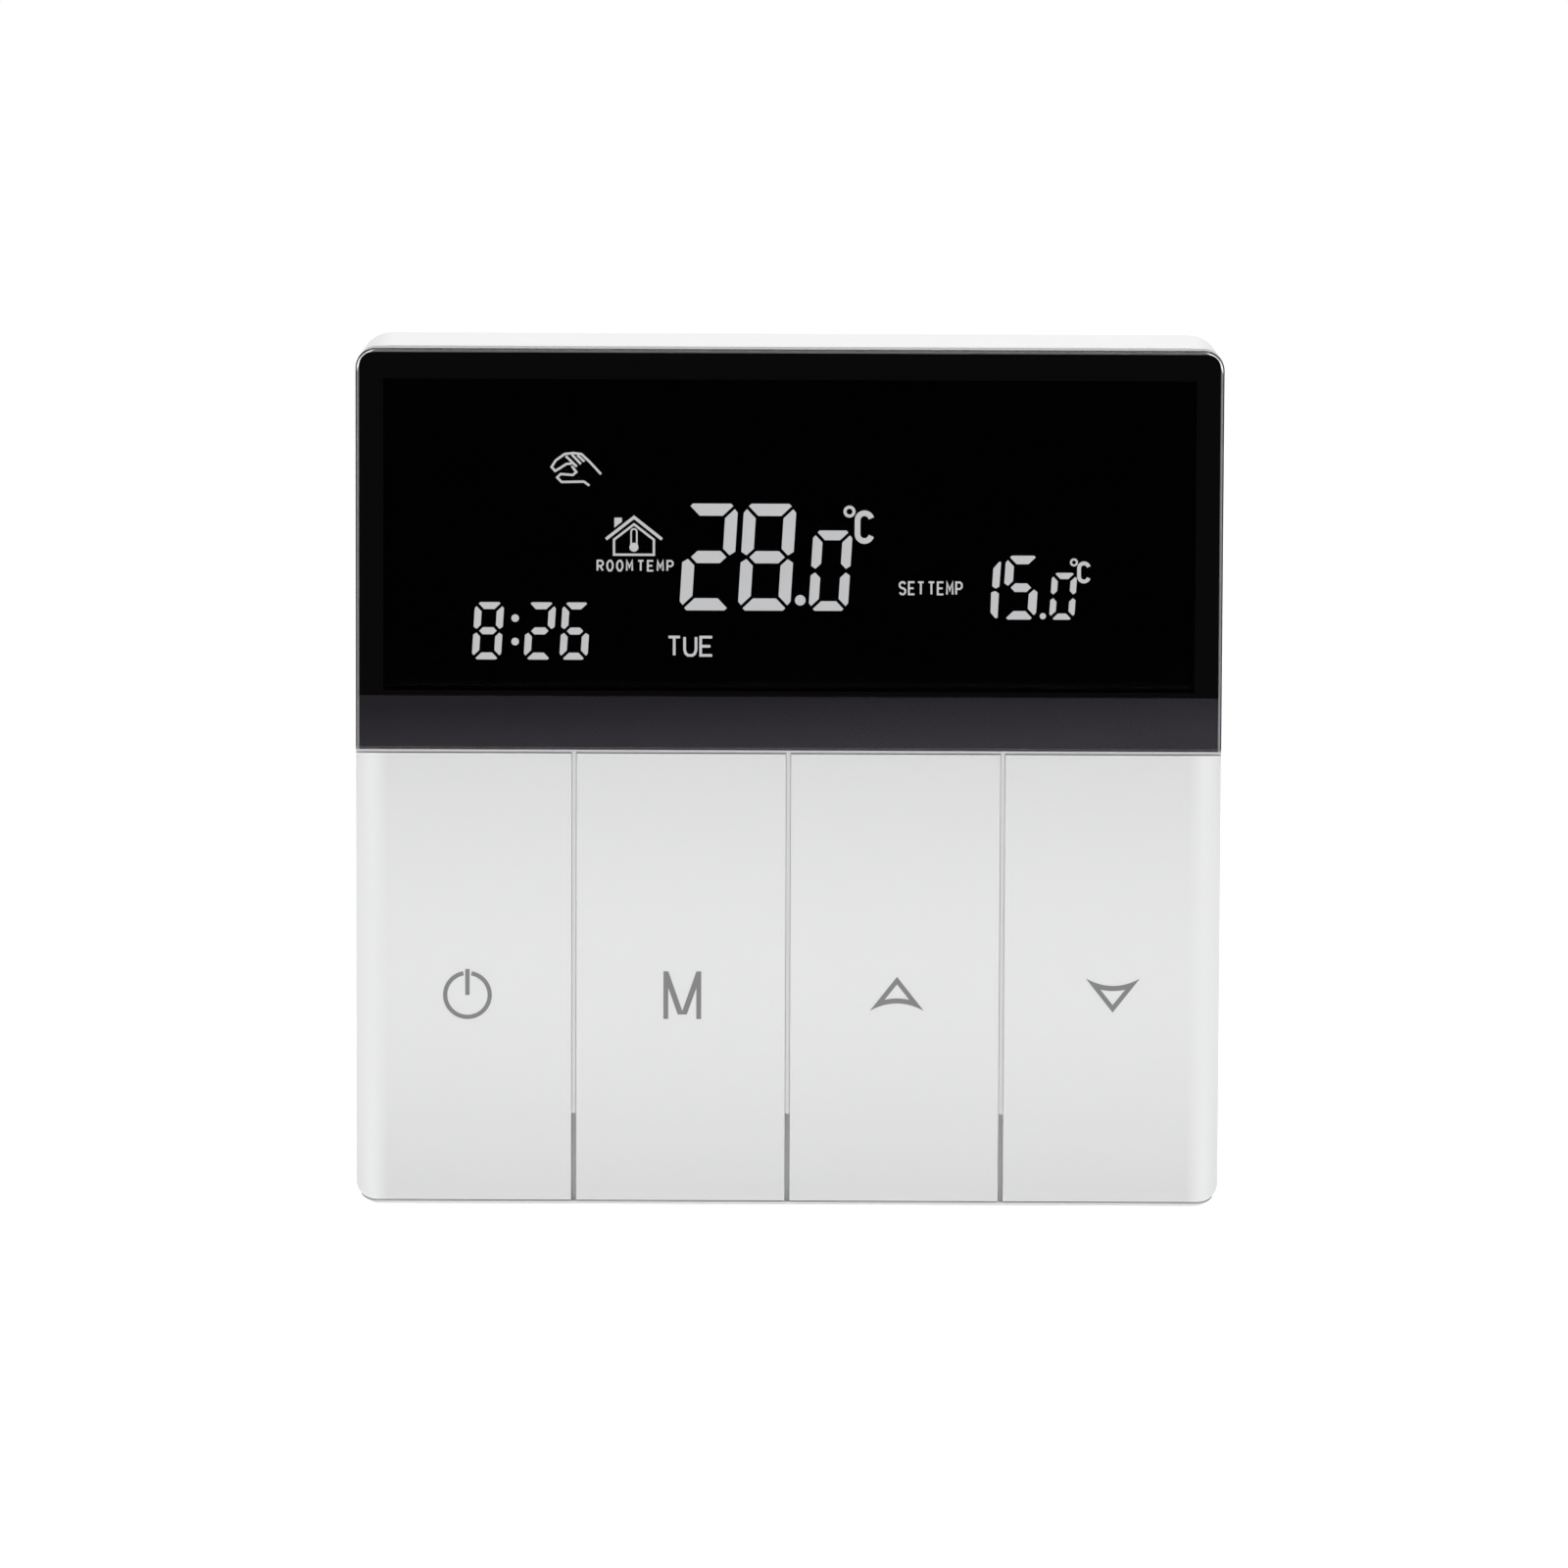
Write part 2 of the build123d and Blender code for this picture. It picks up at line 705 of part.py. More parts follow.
with BuildPart() as header_socket:
    with BuildSketch(front(board_back_at - socket_height)):
        Rectangle(
            socket_cols * socket_pitch + 2 * socket_border, socket_rows * socket_pitch + 2 * socket_border
        )
        with GridLocations(socket_pitch, socket_pitch, socket_cols, socket_rows):
            Rectangle(post_side + 2 * post_play, post_side + 2 * post_play, mode=Mode.SUBTRACT)
    extrude(amount=socket_height)
header_socket.part.label = "header_socket"
export_step(header_socket.part, "parts/header_socket.step")

with BuildPart() as microcontroller:
    with BuildSketch(front(board_back_at - chip_standoff - chip_height)):
        with Locations((0, chip_z)):
            Rectangle(chip_side, chip_side)
    extrude(amount=chip_height)
    chamfer(microcontroller.faces().sort_by(Axis.Y)[-1].edges(), chip_standoff)
    # leads on all four sides, from the middle of the body down to the board
    side_places = [(i - (lead_count - 1) / 2) * lead_pitch for i in range(lead_count)]
    lead_out = chip_side / 2 + lead_reach / 2
    with BuildSketch(front(board_back_at - chip_standoff - chip_height / 2)):
        for offset_along in side_places:
            with Locations((lead_out, chip_z + offset_along), (-lead_out, chip_z + offset_along)):
                Rectangle(lead_reach, lead_width)
            with Locations((offset_along, chip_z + lead_out), (offset_along, chip_z - lead_out)):
                Rectangle(lead_width, lead_reach)
    extrude(amount=lead_sheet)
    foot_out = chip_side / 2 + lead_reach - lead_sheet / 2
    with BuildSketch(front(board_back_at - chip_standoff - chip_height / 2)):
        for offset_along in side_places:
            with Locations((foot_out, chip_z + offset_along), (-foot_out, chip_z + offset_along)):
                Rectangle(lead_sheet, lead_width)
            with Locations((offset_along, chip_z + foot_out), (offset_along, chip_z - foot_out)):
                Rectangle(lead_width, lead_sheet)
    extrude(amount=chip_standoff + chip_height / 2)
microcontroller.part.label = "microcontroller"
export_step(microcontroller.part, "parts/microcontroller.step")

# a regulator, a crystal and a memory chip: centre x, centre z, width, length, height
small_parts = [(18.0, -22.0, 6.5, 3.5, 1.6), (9.5, 20.0, 3.2, 8.0, 1.8), (18.0, -30.0, 5.0, 4.0, 1.5)]
with BuildPart() as board_components:
    for x, z, width, length, height in small_parts:
        with BuildSketch(front(board_back_at - height)):
            with Locations((x, z)):
                RectangleRounded(width, length, width / 10)
        extrude(amount=height)
board_components.part.label = "board_components"
export_step(board_components.part, "parts/board_components.step")

with BuildPart() as buzzer:
    with BuildSketch(front(board_at)):
        with Locations((0, buzzer_z)):
            RectangleRounded(buzzer_side, buzzer_side, buzzer_side / 12)
    extrude(amount=buzzer_height)
    with BuildSketch(front(board_at + buzzer_height)):
        with Locations((0, buzzer_z)):
            Circle(buzzer_hole)
    extrude(amount=-buzzer_height / 2, mode=Mode.SUBTRACT)
buzzer.part.label = "buzzer"
export_step(buzzer.part, "parts/buzzer.step")

with BuildPart() as backup_cell:
    with BuildSketch(front(board_back_at - coin_height)):
        with Locations((coin_x, coin_z)):
            Circle(cell_radius)
    extrude(amount=coin_height)
    fillet(backup_cell.faces().sort_by(Axis.Y)[-1].edges(), coin_height / 8)
backup_cell.part.label = "backup_cell"
export_step(backup_cell.part, "parts/backup_cell.step")

clip_inner = cell_radius + clip_gap
with BuildPart() as cell_clip:
    with BuildSketch(Plane.XY.offset(coin_z - clip_width / 2)):
        with Locations((coin_x, -board_back_at + coin_height + clip_gap + clip_sheet / 2)):
            Rectangle(2 * (clip_inner + clip_sheet), clip_sheet)
        for side in (-1, 1):
            with Locations(
                (coin_x + side * (clip_inner + clip_sheet / 2), -board_back_at + (coin_height + clip_gap) / 2)
            ):
                Rectangle(clip_sheet, coin_height + clip_gap)
            with Locations(
                (coin_x + side * (clip_inner + clip_sheet + clip_foot / 2), -board_back_at + clip_sheet / 2)
            ):
                Rectangle(clip_foot, clip_sheet)
    extrude(amount=clip_width)
cell_clip.part.label = "cell_clip"
export_step(cell_clip.part, "parts/cell_clip.step")

with BuildPart() as thermistor:
    with Locations((bead_x, -bead_at, bead_z)):
        Sphere(bead_radius)
    with BuildSketch(front(board_at)):
        with Locations((bead_x - bead_lead_pitch / 2, bead_z), (bead_x + bead_lead_pitch / 2, bead_z)):
            Circle(bead_lead)
    extrude(amount=bead_at - board_at)
thermistor.part.label = "thermistor"
export_step(thermistor.part, "parts/thermistor.step")

# ---------------------------------------------------------------- steel plate on the wall
with BuildPart() as mounting_plate:
    with BuildSketch(front(0)):
        RectangleRounded(plate_width, plate_height, plate_corner)
        with Locations((-slot_spacing / 2, 0), (slot_spacing / 2, 0)):
            SlotOverall(slot_length, slot_width, mode=Mode.SUBTRACT)
        RectangleRounded(port_width, port_height, plate_corner, mode=Mode.SUBTRACT)
        with Locations(*box_boss_places):
            Circle(box_screw_radius + screw_clearance, mode=Mode.SUBTRACT)
    extrude(amount=plate_thickness)
    # ears turned forwards from the top and bottom edges
    with BuildSketch(front(plate_thickness)):
        for x in (-ear_x, ear_x):
            for side in (-1, 1):
                with Locations((x, side * (plate_height - plate_thickness) / 2)):
                    Rectangle(ear_width, plate_thickness)
    extrude(amount=ear_at - plate_thickness)
mounting_plate.part.label = "mounting_plate"
export_step(mounting_plate.part, "parts/mounting_plate.step")

# ---------------------------------------------------------------- power box in the wall
with BuildPart() as power_box:
    with BuildSketch(behind(box_depth)) as box_outline:
        Rectangle(box_side, box_side)
        chamfer(box_outline.vertices(), box_chamfer)
    extrude(amount=box_depth)
    # recess under the shelf, where the terminals stand
    with BuildSketch(behind(box_depth)):
        with Locations((0, shelf_z - box_side / 2)):
            Rectangle(box_side, box_side)
    extrude(amount=box_depth - shelf_depth, mode=Mode.SUBTRACT)
    # deep cavity above the shelf
    with BuildSketch(behind(box_depth - box_wall)) as deep_outline:
        Rectangle(box_side - 2 * box_wall, box_side - 2 * box_wall)
        chamfer(deep_outline.vertices(), box_chamfer - box_wall * chamfer_shrink)
        with Locations((0, shelf_z + box_wall - box_side / 2)):
            Rectangle(box_side, box_side, mode=Mode.SUBTRACT)
    extrude(amount=box_depth - box_wall, mode=Mode.SUBTRACT)
    # shallow cavity over the whole mouth
    with BuildSketch(behind(shelf_depth - box_wall)) as shallow_outline:
        Rectangle(box_side - 2 * box_wall, box_side - 2 * box_wall)
        chamfer(shallow_outline.vertices(), box_chamfer - box_wall * chamfer_shrink)
    extrude(amount=shelf_depth - box_wall, mode=Mode.SUBTRACT)
    # opening in the shelf for the terminal block
    with BuildSketch(behind(shelf_depth)):
        with Locations((0, terminal_middle)):
            Rectangle(
                terminal_count * terminal_pitch + 2 * terminal_wall + 2 * lid_play,
                terminal_height + 2 * lid_play,
            )
    extrude(amount=box_wall, mode=Mode.SUBTRACT)
    # air slots through the rear wall, over the relay and the transformer
    with BuildSketch(behind(box_depth)):
        with Locations((0, box_vent_z)):
            with GridLocations(2 * box_vent_x, box_vent_pitch, 2, box_vent_count):
                SlotOverall(box_vent_length, box_vent_width)
    extrude(amount=box_wall, mode=Mode.SUBTRACT)
    # bosses for the plate screws
    with BuildSketch(behind(box_boss_depth)):
        with Locations(*box_boss_places):
            Circle(box_boss_radius)
        with Locations(*box_boss_places):
            Circle(box_screw_radius + screw_play, mode=Mode.SUBTRACT)
    extrude(amount=box_boss_depth - parts_depth)
power_box.part.label = "power_box"
export_step(power_box.part, "parts/power_box.step")

with BuildPart() as power_box_lid:
    with BuildSketch(behind(lid_thickness)) as lid_outline:
        Rectangle(box_side - 2 * box_wall - 2 * lid_play, box_side - 2 * box_wall - 2 * lid_play)
        chamfer(lid_outline.vertices(), box_chamfer - (box_wall + lid_play) * chamfer_shrink)
        RectangleRounded(port_width, port_height, plate_corner, mode=Mode.SUBTRACT)
        with Locations(*box_boss_places):
            Circle(box_screw_radius + screw_clearance, mode=Mode.SUBTRACT)
    extrude(amount=lid_thickness)
power_box_lid.part.label = "power_box_lid"
export_step(power_box_lid.part, "parts/power_box_lid.step")

with BuildPart() as power_board:
    with BuildSketch(behind(parts_depth)) as power_outline:
        Rectangle(box_side - 2 * box_wall - 2 * power_play, box_side - 2 * box_wall - 2 * power_play)
        chamfer(power_outline.vertices(), box_chamfer - (box_wall + power_play) * chamfer_shrink)
        with Locations(*box_boss_places):
            Circle(box_screw_radius + screw_clearance, mode=Mode.SUBTRACT)
    extrude(amount=power_thickness)
power_board.part.label = "power_board"
export_step(power_board.part, "parts/power_board.step")

with BuildPart() as box_screws:
    with BuildSketch(behind(box_screw_depth)):
        with Locations(*box_boss_places):
            Circle(box_screw_radius)
    extrude(amount=box_screw_depth + plate_thickness)
    with BuildSketch(front(plate_thickness)):
        with Locations(*box_boss_places):
            Circle(box_screw_head_radius)
    extrude(amount=box_screw_head)
    fillet(box_screws.faces().group_by(Axis.Y)[0].edges(), box_screw_head / 3)
    with BuildSketch(front(plate_thickness + box_screw_head)):
        with Locations(*box_boss_places):
            Rectangle(box_screw_head_radius, box_screw_head_radius / 4)
            Rectangle(box_screw_head_radius / 4, box_screw_head_radius)
    extrude(amount=-box_screw_head / 2, mode=Mode.SUBTRACT)
box_screws.part.label = "box_screws"
export_step(box_screws.part, "parts/box_screws.step")

# header: a plastic strip with pins that reach through the plate into the socket
header_tip_gap = 0.4
strip_gap = 0.3
header_tip_at = board_back_at - header_tip_gap
strip_thickness = power_depth - lid_thickness - strip_gap
with BuildPart() as pin_header:
    with BuildSketch(behind(power_depth)):
        Rectangle(socket_cols * socket_pitch, socket_rows * socket_pitch)
        with GridLocations(socket_pitch, socket_pitch, socket_cols, socket_rows):
            Rectangle(post_side, post_side, mode=Mode.SUBTRACT)
    extrude(amount=strip_thickness)
pin_header.part.label = "pin_header"
export_step(pin_header.part, "parts/pin_header.step")

with BuildPart() as header_pins:
    with BuildSketch(behind(power_depth)):
        with GridLocations(socket_pitch, socket_pitch, socket_cols, socket_rows):
            Rectangle(post_side, post_side)
    extrude(amount=power_depth + header_tip_at)
header_pins.part.label = "header_pins"
export_step(header_pins.part, "parts/header_pins.step")

# ---------------------------------------------------------------- parts on the power board
relay_width = 18.4
relay_height = 10.2
relay_length = 15.3
relay_x = 11.8
relay_z = 7.1
relay_corner = 0.5
relay_edge = 0.4
with BuildPart() as relay:
    with BuildSketch(behind(parts_depth + relay_length)):
        with Locations((relay_x, relay_z)):
            RectangleRounded(relay_width, relay_height, relay_corner)
    extrude(amount=relay_length)
    chamfer(relay.faces().sort_by(Axis.Y)[-1].edges(), relay_edge)
relay.part.label = "relay"
export_step(relay.part, "parts/relay.step")

# transformer: a laminated core with three legs round a wound coil
core_leg = 3.0
core_middle = 6.0
core_window = 4.0
core_yoke = 3.0
core_width = 2 * core_leg + 2 * core_window + core_middle
core_stack = 7.5
core_length = 13.0
core_x = -10.6
core_z = 4.6
core_rise = 1.5
core_depth = parts_depth + core_rise
coil_height = 13.0
coil_play = 0.2
coil_corner = 1.0
coil_foot = 0.45
coil_foot_x = 5.0
coil_foot_z = 5.4
coil_depth = core_depth + core_yoke + coil_play
coil_length = core_length - 2 * core_yoke - 2 * coil_play
window_place = (core_middle + core_window) / 2
with BuildPart() as transformer_core:
    with BuildSketch(Plane.XY.offset(core_z - core_stack / 2)):
        with Locations((core_x, core_depth + core_length / 2)):
            Rectangle(core_width, core_length)
            with Locations((-window_place, 0), (window_place, 0)):
                Rectangle(core_window, core_length - 2 * core_yoke, mode=Mode.SUBTRACT)
    extrude(amount=core_stack)
transformer_core.part.label = "transformer_core"
export_step(transformer_core.part, "parts/transformer_core.step")

with BuildPart() as transformer_coil:
    with BuildSketch(behind(coil_depth + coil_length)):
        with Locations((core_x, core_z)):
            RectangleRounded(core_middle + 2 * (core_window - coil_play), coil_height, coil_corner)
            Rectangle(core_middle + 2 * coil_play, core_stack + 2 * coil_play, mode=Mode.SUBTRACT)
    extrude(amount=coil_length)
    # four feet down to the board
    with BuildSketch(behind(coil_depth)):
        with Locations((core_x, core_z)):
            with GridLocations(2 * coil_foot_x, 2 * coil_foot_z, 2, 2):
                Circle(coil_foot)
    extrude(amount=coil_depth - parts_depth)
transformer_coil.part.label = "transformer_coil"
export_step(transformer_coil.part, "parts/transformer_coil.step")

# two upright electrolytic capacitors with a rolled groove near the foot
can_radius = 4.0
can_length = 12.0
can_places = [(-6.2, 16.9), (4.2, 16.9)]
can_edge = 0.5
can_groove = 0.4
can_groove_rise = 1.8
can_groove_depth = parts_depth + can_groove_rise
with BuildPart() as capacitor_cans:
    with BuildSketch(behind(parts_depth + can_length)):
        with Locations(*can_places):
            Circle(can_radius)
    extrude(amount=can_length)
    fillet(capacitor_cans.faces().group_by(Axis.Y)[-1].edges(), can_edge)
    for x, z in can_places:
        with Locations(Location((x, can_groove_depth, z), (90, 0, 0))):
            Torus(can_radius + can_groove / 2, can_groove, mode=Mode.SUBTRACT)
capacitor_cans.part.label = "capacitor_cans"
export_step(capacitor_cans.part, "parts/capacitor_cans.step")

film_x = -9.4
film_z = -6.4
film_width = 10.0
film_height = 4.6
film_length = 9.0
film_corner = 0.4
with BuildPart() as film_capacitor:
    with BuildSketch(behind(parts_depth + film_length)):
        with Locations((film_x, film_z)):
            RectangleRounded(film_width, film_height, film_corner)
    extrude(amount=film_length)
film_capacitor.part.label = "film_capacitor"
export_step(film_capacitor.part, "parts/film_capacitor.step")

# varistor: a coated disc on edge, on two leads
varistor_x = 11.0
varistor_z = 17.0
varistor_radius = 3.5
varistor_thickness = 2.8
varistor_rise = 5.2
varistor_lead = 0.3
varistor_lead_spread = 2.5
varistor_depth = parts_depth + varistor_rise
with BuildPart() as varistor:
    with BuildSketch(Plane.YZ.offset(varistor_x - varistor_thickness / 2)):
        with Locations((varistor_depth, varistor_z)):
            Circle(varistor_radius)
    extrude(amount=varistor_thickness)
    fillet(varistor.edges().filter_by(GeomType.CIRCLE), varistor_thickness / 3)
    with BuildSketch(behind(varistor_depth)):
        for side in (-1, 1):
            with Locations((varistor_x, varistor_z + side * varistor_lead_spread)):
                Circle(varistor_lead)
    extrude(amount=varistor_depth - parts_depth)
varistor.part.label = "varistor"
export_step(varistor.part, "parts/varistor.step")

# fuse: a tube with end caps, lying along X
fuse_x = 6.4
fuse_z = -6.4
fuse_length = 15.0
fuse_radius = 1.8
fuse_cap = 3.0
fuse_cap_sheet = 0.2
with BuildPart() as fuse:
    with BuildSketch(Plane.YZ.offset(fuse_x - fuse_length / 2)):
        with Locations((parts_depth + fuse_radius + fuse_cap_sheet, fuse_z)):
            Circle(fuse_radius)
    extrude(amount=fuse_length)
    for start in (fuse_x - fuse_length / 2, fuse_x + fuse_length / 2 - fuse_cap):
        with BuildSketch(Plane.YZ.offset(start)):
            with Locations((parts_depth + fuse_radius + fuse_cap_sheet, fuse_z)):
                Circle(fuse_radius + fuse_cap_sheet)
        extrude(amount=fuse_cap)
fuse.part.label = "fuse"
export_step(fuse.part, "parts/fuse.step")

# ---------------------------------------------------------------- terminals
terminal_places = [(i - (terminal_count - 1) / 2) * terminal_pitch for i in range(terminal_count)]
terminal_bottom = terminal_top - terminal_height
cage_width = terminal_pitch - 2 * terminal_wall
with BuildPart() as terminal_block:
    with BuildSketch(behind(parts_depth + terminal_length)):
        with Locations((0, terminal_middle)):
            Rectangle(terminal_count * terminal_pitch + 2 * terminal_wall, terminal_height)
    extrude(amount=terminal_length)
    chamfer(terminal_block.faces().sort_by(Axis.Y)[-1].edges(), terminal_edge)
    # wire entries, open downwards
    with BuildSketch(Plane.XY.offset(terminal_bottom)):
        for x in terminal_places:
            with Locations((x, cage_depth + cage_length / 2)):
                Rectangle(cage_width, cage_length + 2 * cage_play)
    extrude(amount=(terminal_height + cage_height) / 2 + cage_play, mode=Mode.SUBTRACT)
    # screw wells, open to the rear
    with BuildSketch(behind(parts_depth + terminal_length)):
        for x in terminal_places:
            with Locations((x, terminal_middle)):
                Circle(clamp_well_radius)
    extrude(amount=parts_depth + terminal_length - cage_depth - cage_length, mode=Mode.SUBTRACT)
terminal_block.part.label = "terminal_block"
export_step(terminal_block.part, "parts/terminal_block.step")

with BuildPart() as terminal_clamps:
    with BuildSketch(Plane.XY.offset(terminal_middle - cage_height / 2)):
        for x in terminal_places:
            with Locations((x, cage_depth + cage_length / 2)):
                Rectangle(cage_width - 2 * cage_play, cage_length)
                Rectangle(
                    cage_width - 2 * cage_play - 2 * cage_wall,
                    cage_length - 2 * cage_wall,
                    mode=Mode.SUBTRACT,
                )
    extrude(amount=cage_height)
    with BuildSketch(behind(cage_depth + cage_length)):
        for x in terminal_places:
            with Locations((x, terminal_middle)):
                Circle(clamp_screw_radius + screw_play)
    extrude(amount=cage_length / 2, mode=Mode.SUBTRACT)
terminal_clamps.part.label = "terminal_clamps"
export_step(terminal_clamps.part, "parts/terminal_clamps.step")

with BuildPart() as terminal_screws:
    with BuildSketch(behind(clamp_head_depth)):
        for x in terminal_places:
            with Locations((x, terminal_middle)):
                Circle(clamp_screw_radius)
    extrude(amount=clamp_head_depth - cage_depth - cage_length + cage_wall + clamp_screw_reach)
    with BuildSketch(behind(clamp_head_depth + clamp_head)):
        for x in terminal_places:
            with Locations((x, terminal_middle)):
                Circle(clamp_head_radius)
    extrude(amount=clamp_head)
    with BuildSketch(behind(clamp_head_depth + clamp_head)):
        for x in terminal_places:
            with Locations((x, terminal_middle)):
                Rectangle(2 * clamp_head_radius, clamp_slot, rotation=clamp_slot_turn)
    extrude(amount=clamp_slot_depth, mode=Mode.SUBTRACT)
terminal_screws.part.label = "terminal_screws"
export_step(terminal_screws.part, "parts/terminal_screws.step")
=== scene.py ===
import math

import bmesh
import bpy
from mathutils import Matrix, Vector


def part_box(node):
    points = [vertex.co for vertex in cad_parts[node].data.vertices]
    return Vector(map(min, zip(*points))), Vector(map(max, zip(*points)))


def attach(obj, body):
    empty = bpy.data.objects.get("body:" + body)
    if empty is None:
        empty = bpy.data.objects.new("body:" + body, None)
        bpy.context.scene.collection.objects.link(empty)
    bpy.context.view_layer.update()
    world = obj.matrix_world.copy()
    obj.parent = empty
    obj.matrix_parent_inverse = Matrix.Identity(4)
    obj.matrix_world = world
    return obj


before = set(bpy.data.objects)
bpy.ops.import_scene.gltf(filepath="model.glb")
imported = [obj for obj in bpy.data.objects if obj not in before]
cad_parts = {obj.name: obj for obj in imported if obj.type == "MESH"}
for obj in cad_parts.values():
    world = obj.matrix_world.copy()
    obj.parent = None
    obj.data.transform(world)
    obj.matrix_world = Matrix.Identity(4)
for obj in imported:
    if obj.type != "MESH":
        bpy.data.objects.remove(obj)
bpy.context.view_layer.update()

bl_info = {
    "name": "Wall Thermostat Looks",
    "version": (1, 0, 0),
    "blender": (4, 5, 0),
    "location": "3D View > Sidebar > Thermostat",
    "description": "Finishes, printed symbols, display figures and small board parts",
    "category": "Object",
}

MM = 0.001
UNIT = "front_unit"
KEYS = ("power_key", "mode_key", "up_key", "down_key")

# How the display's figures are laid out, in millimetres: the middle of each digit across, its foot, width,
# height and the width of its bars.
ROOM_DIGITS = (("2", -8.0, 5.2, 10.7, 1.22), ("8", -2.2, 5.2, 10.7, 1.22), ("0", 4.1, 3.9, 8.05, 0.97))
ROOM_FOOT = 16.7
SET_DIGITS = (("5", 23.0, 3.35, 6.4, 0.85), ("0", 27.2, 2.5, 4.7, 0.62))
SET_FOOT = 15.9
CLOCK_DIGITS = (("8", -29.9, 2.9, 5.75, 0.7), ("2", -24.75, 2.9, 5.75, 0.7), ("6", -21.25, 2.8, 5.75, 0.7))
CLOCK_FOOT = 11.7

# How far each key's symbol stands right of its key's middle and above the common height, in millimetres.
SYMBOL_SHIFTS = ((0.37, -0.06), (0.16, 0.0), (0.24, 0.03), (0.12, 0.31))

# Which of a digit's seven bars are lit: top, upper right, lower right, foot, lower left, upper left, middle.
LIT_BARS = {"0": "abcdef", "2": "abged", "5": "afgcd", "6": "acdefg", "8": "abcdefg"}

# Letters as strokes in a unit square, drawn as lines of even width. A corner is cut by this much.
CUT = 0.3
LETTERS = {
    "C": [[(1, 1 - CUT), (1 - CUT, 1), (CUT, 1), (0, 1 - CUT), (0, CUT), (CUT, 0), (1 - CUT, 0), (1, CUT)]],
    "E": [[(1, 1), (0, 1), (0, 0), (1, 0)], [(0.1, 0.5), (0.85, 0.5)]],
    "M": [[(0, 0), (0, 1), (0.5, 0.35), (1, 1), (1, 0)]],
    "O": [
        [
            (CUT, 1), (0, 1 - CUT), (0, CUT), (CUT, 0), (1 - CUT, 0),
            (1, CUT), (1, 1 - CUT), (1 - CUT, 1), (CUT, 1),
        ]
    ],
    "P": [[(0, 0), (0, 1), (1 - CUT, 1), (1, 0.85), (1, 0.6), (1 - CUT, 0.45), (0.1, 0.45)]],
    "R": [
        [(0, 0), (0, 1), (1 - CUT, 1), (1, 0.85), (1, 0.62), (1 - CUT, 0.47), (0.1, 0.47)],
        [(0.5, 0.4), (1, 0)],
    ],
    "S": [
        [
            (1, 0.85), (1 - CUT, 1), (CUT, 1), (0, 0.85), (0, 0.65), (CUT, 0.52),
            (1 - CUT, 0.48), (1, 0.35), (1, 0.15), (1 - CUT, 0), (CUT, 0), (0, 0.15),
        ]
    ],
    "T": [[(0, 1), (1, 1)], [(0.5, 0.93), (0.5, 0)]],
    "U": [
        [
            (0, 1), (0, CUT), (CUT / 3, CUT / 3), (CUT, 0),
            (1 - CUT, 0), (1 - CUT / 3, CUT / 3), (1, CUT), (1, 1),
        ]
    ],
}


# ---------------------------------------------------------------- settings
def length_setting(name, description, metres):
    return bpy.props.FloatProperty(name=name, description=description, unit="LENGTH", default=metres)


def colour_setting(name, description, tone):
    return bpy.props.FloatVectorProperty(name=name, description=description, subtype="COLOR", default=tone)


def angle_setting(name, description, degrees):
    turn = math.radians(degrees)
    return bpy.props.FloatProperty(name=name, description=description, subtype="ANGLE", default=turn)


def count_setting(name, description, whole):
    return bpy.props.IntProperty(name=name, description=description, default=whole, min=1)


def number_setting(name, description, value, least=0.0):
    return bpy.props.FloatProperty(name=name, description=description, default=value, min=least)


class FigureSettings(bpy.types.PropertyGroup):
    light: number_setting("Figure light", "How brightly the display's figures shine", 0.6)
    tint: colour_setting("Figure tint", "Colour of the lit figures", (0.97, 0.97, 1.0))
    sheet: length_setting("Figure thickness", "Thickness of the figure layer", 0.03 * MM)
    lift: length_setting("Figure lift", "Gap under the figure layer", 0.005 * MM)
    slant: angle_setting("Slant", "Lean of the digits to the right", 3.4)
    gap: length_setting("Bar gap", "Dark gap between two bars of a digit", 0.33 * MM)


class KeySettings(bpy.types.PropertyGroup):
    plastic: colour_setting("Key colour", "Colour of the keys", (0.885, 0.892, 0.888))
    print_grey: colour_setting("Print colour", "Colour of the printed symbols", (0.275, 0.275, 0.275))
    print_sheet: length_setting("Print thickness", "Height of the print on a key", 0.02 * MM)
    print_sink: length_setting("Print sink", "How far the print goes into a key", 0.01 * MM)
    symbol_z: length_setting("Symbol height", "Middle of the symbols above the centre", -21.8 * MM)


class ShellSettings(bpy.types.PropertyGroup):
    plastic: colour_setting("Housing colour", "Colour of the housing", (0.82, 0.825, 0.82))
    lens_bend: number_setting("Lens IOR", "Refractive index of the acrylic lens", 1.49, least=1.0)


class BoardSettings(bpy.types.PropertyGroup):
    mask: colour_setting("Board colour", "Solder mask colour", (0.012, 0.12, 0.045))
    chip_columns: count_setting("Chip columns", "Small parts in a row", 5)
    chip_rows: count_setting("Chip rows", "Rows of small parts", 4)
    chip_length: length_setting("Chip length", "Length of a small part", 1.6 * MM)


class StageSettings(bpy.types.PropertyGroup):
    floor_drop: length_setting("Floor drop", "Floor below the thermostat's middle", 0.103)
    floor_front: length_setting("Floor front", "How far the floor reaches into the room", 0.768)
    camera_distance: length_setting("Camera distance", "From the lens to the camera", 1.35)
    camera_rise: angle_setting("Camera elevation", "How far the camera looks down", 8.755)
    camera_roll: angle_setting("Camera roll", "Turn of the camera about its own axis", 0.222)
    camera_lens: number_setting("Focal length", "Camera lens in millimetres", 311.9)


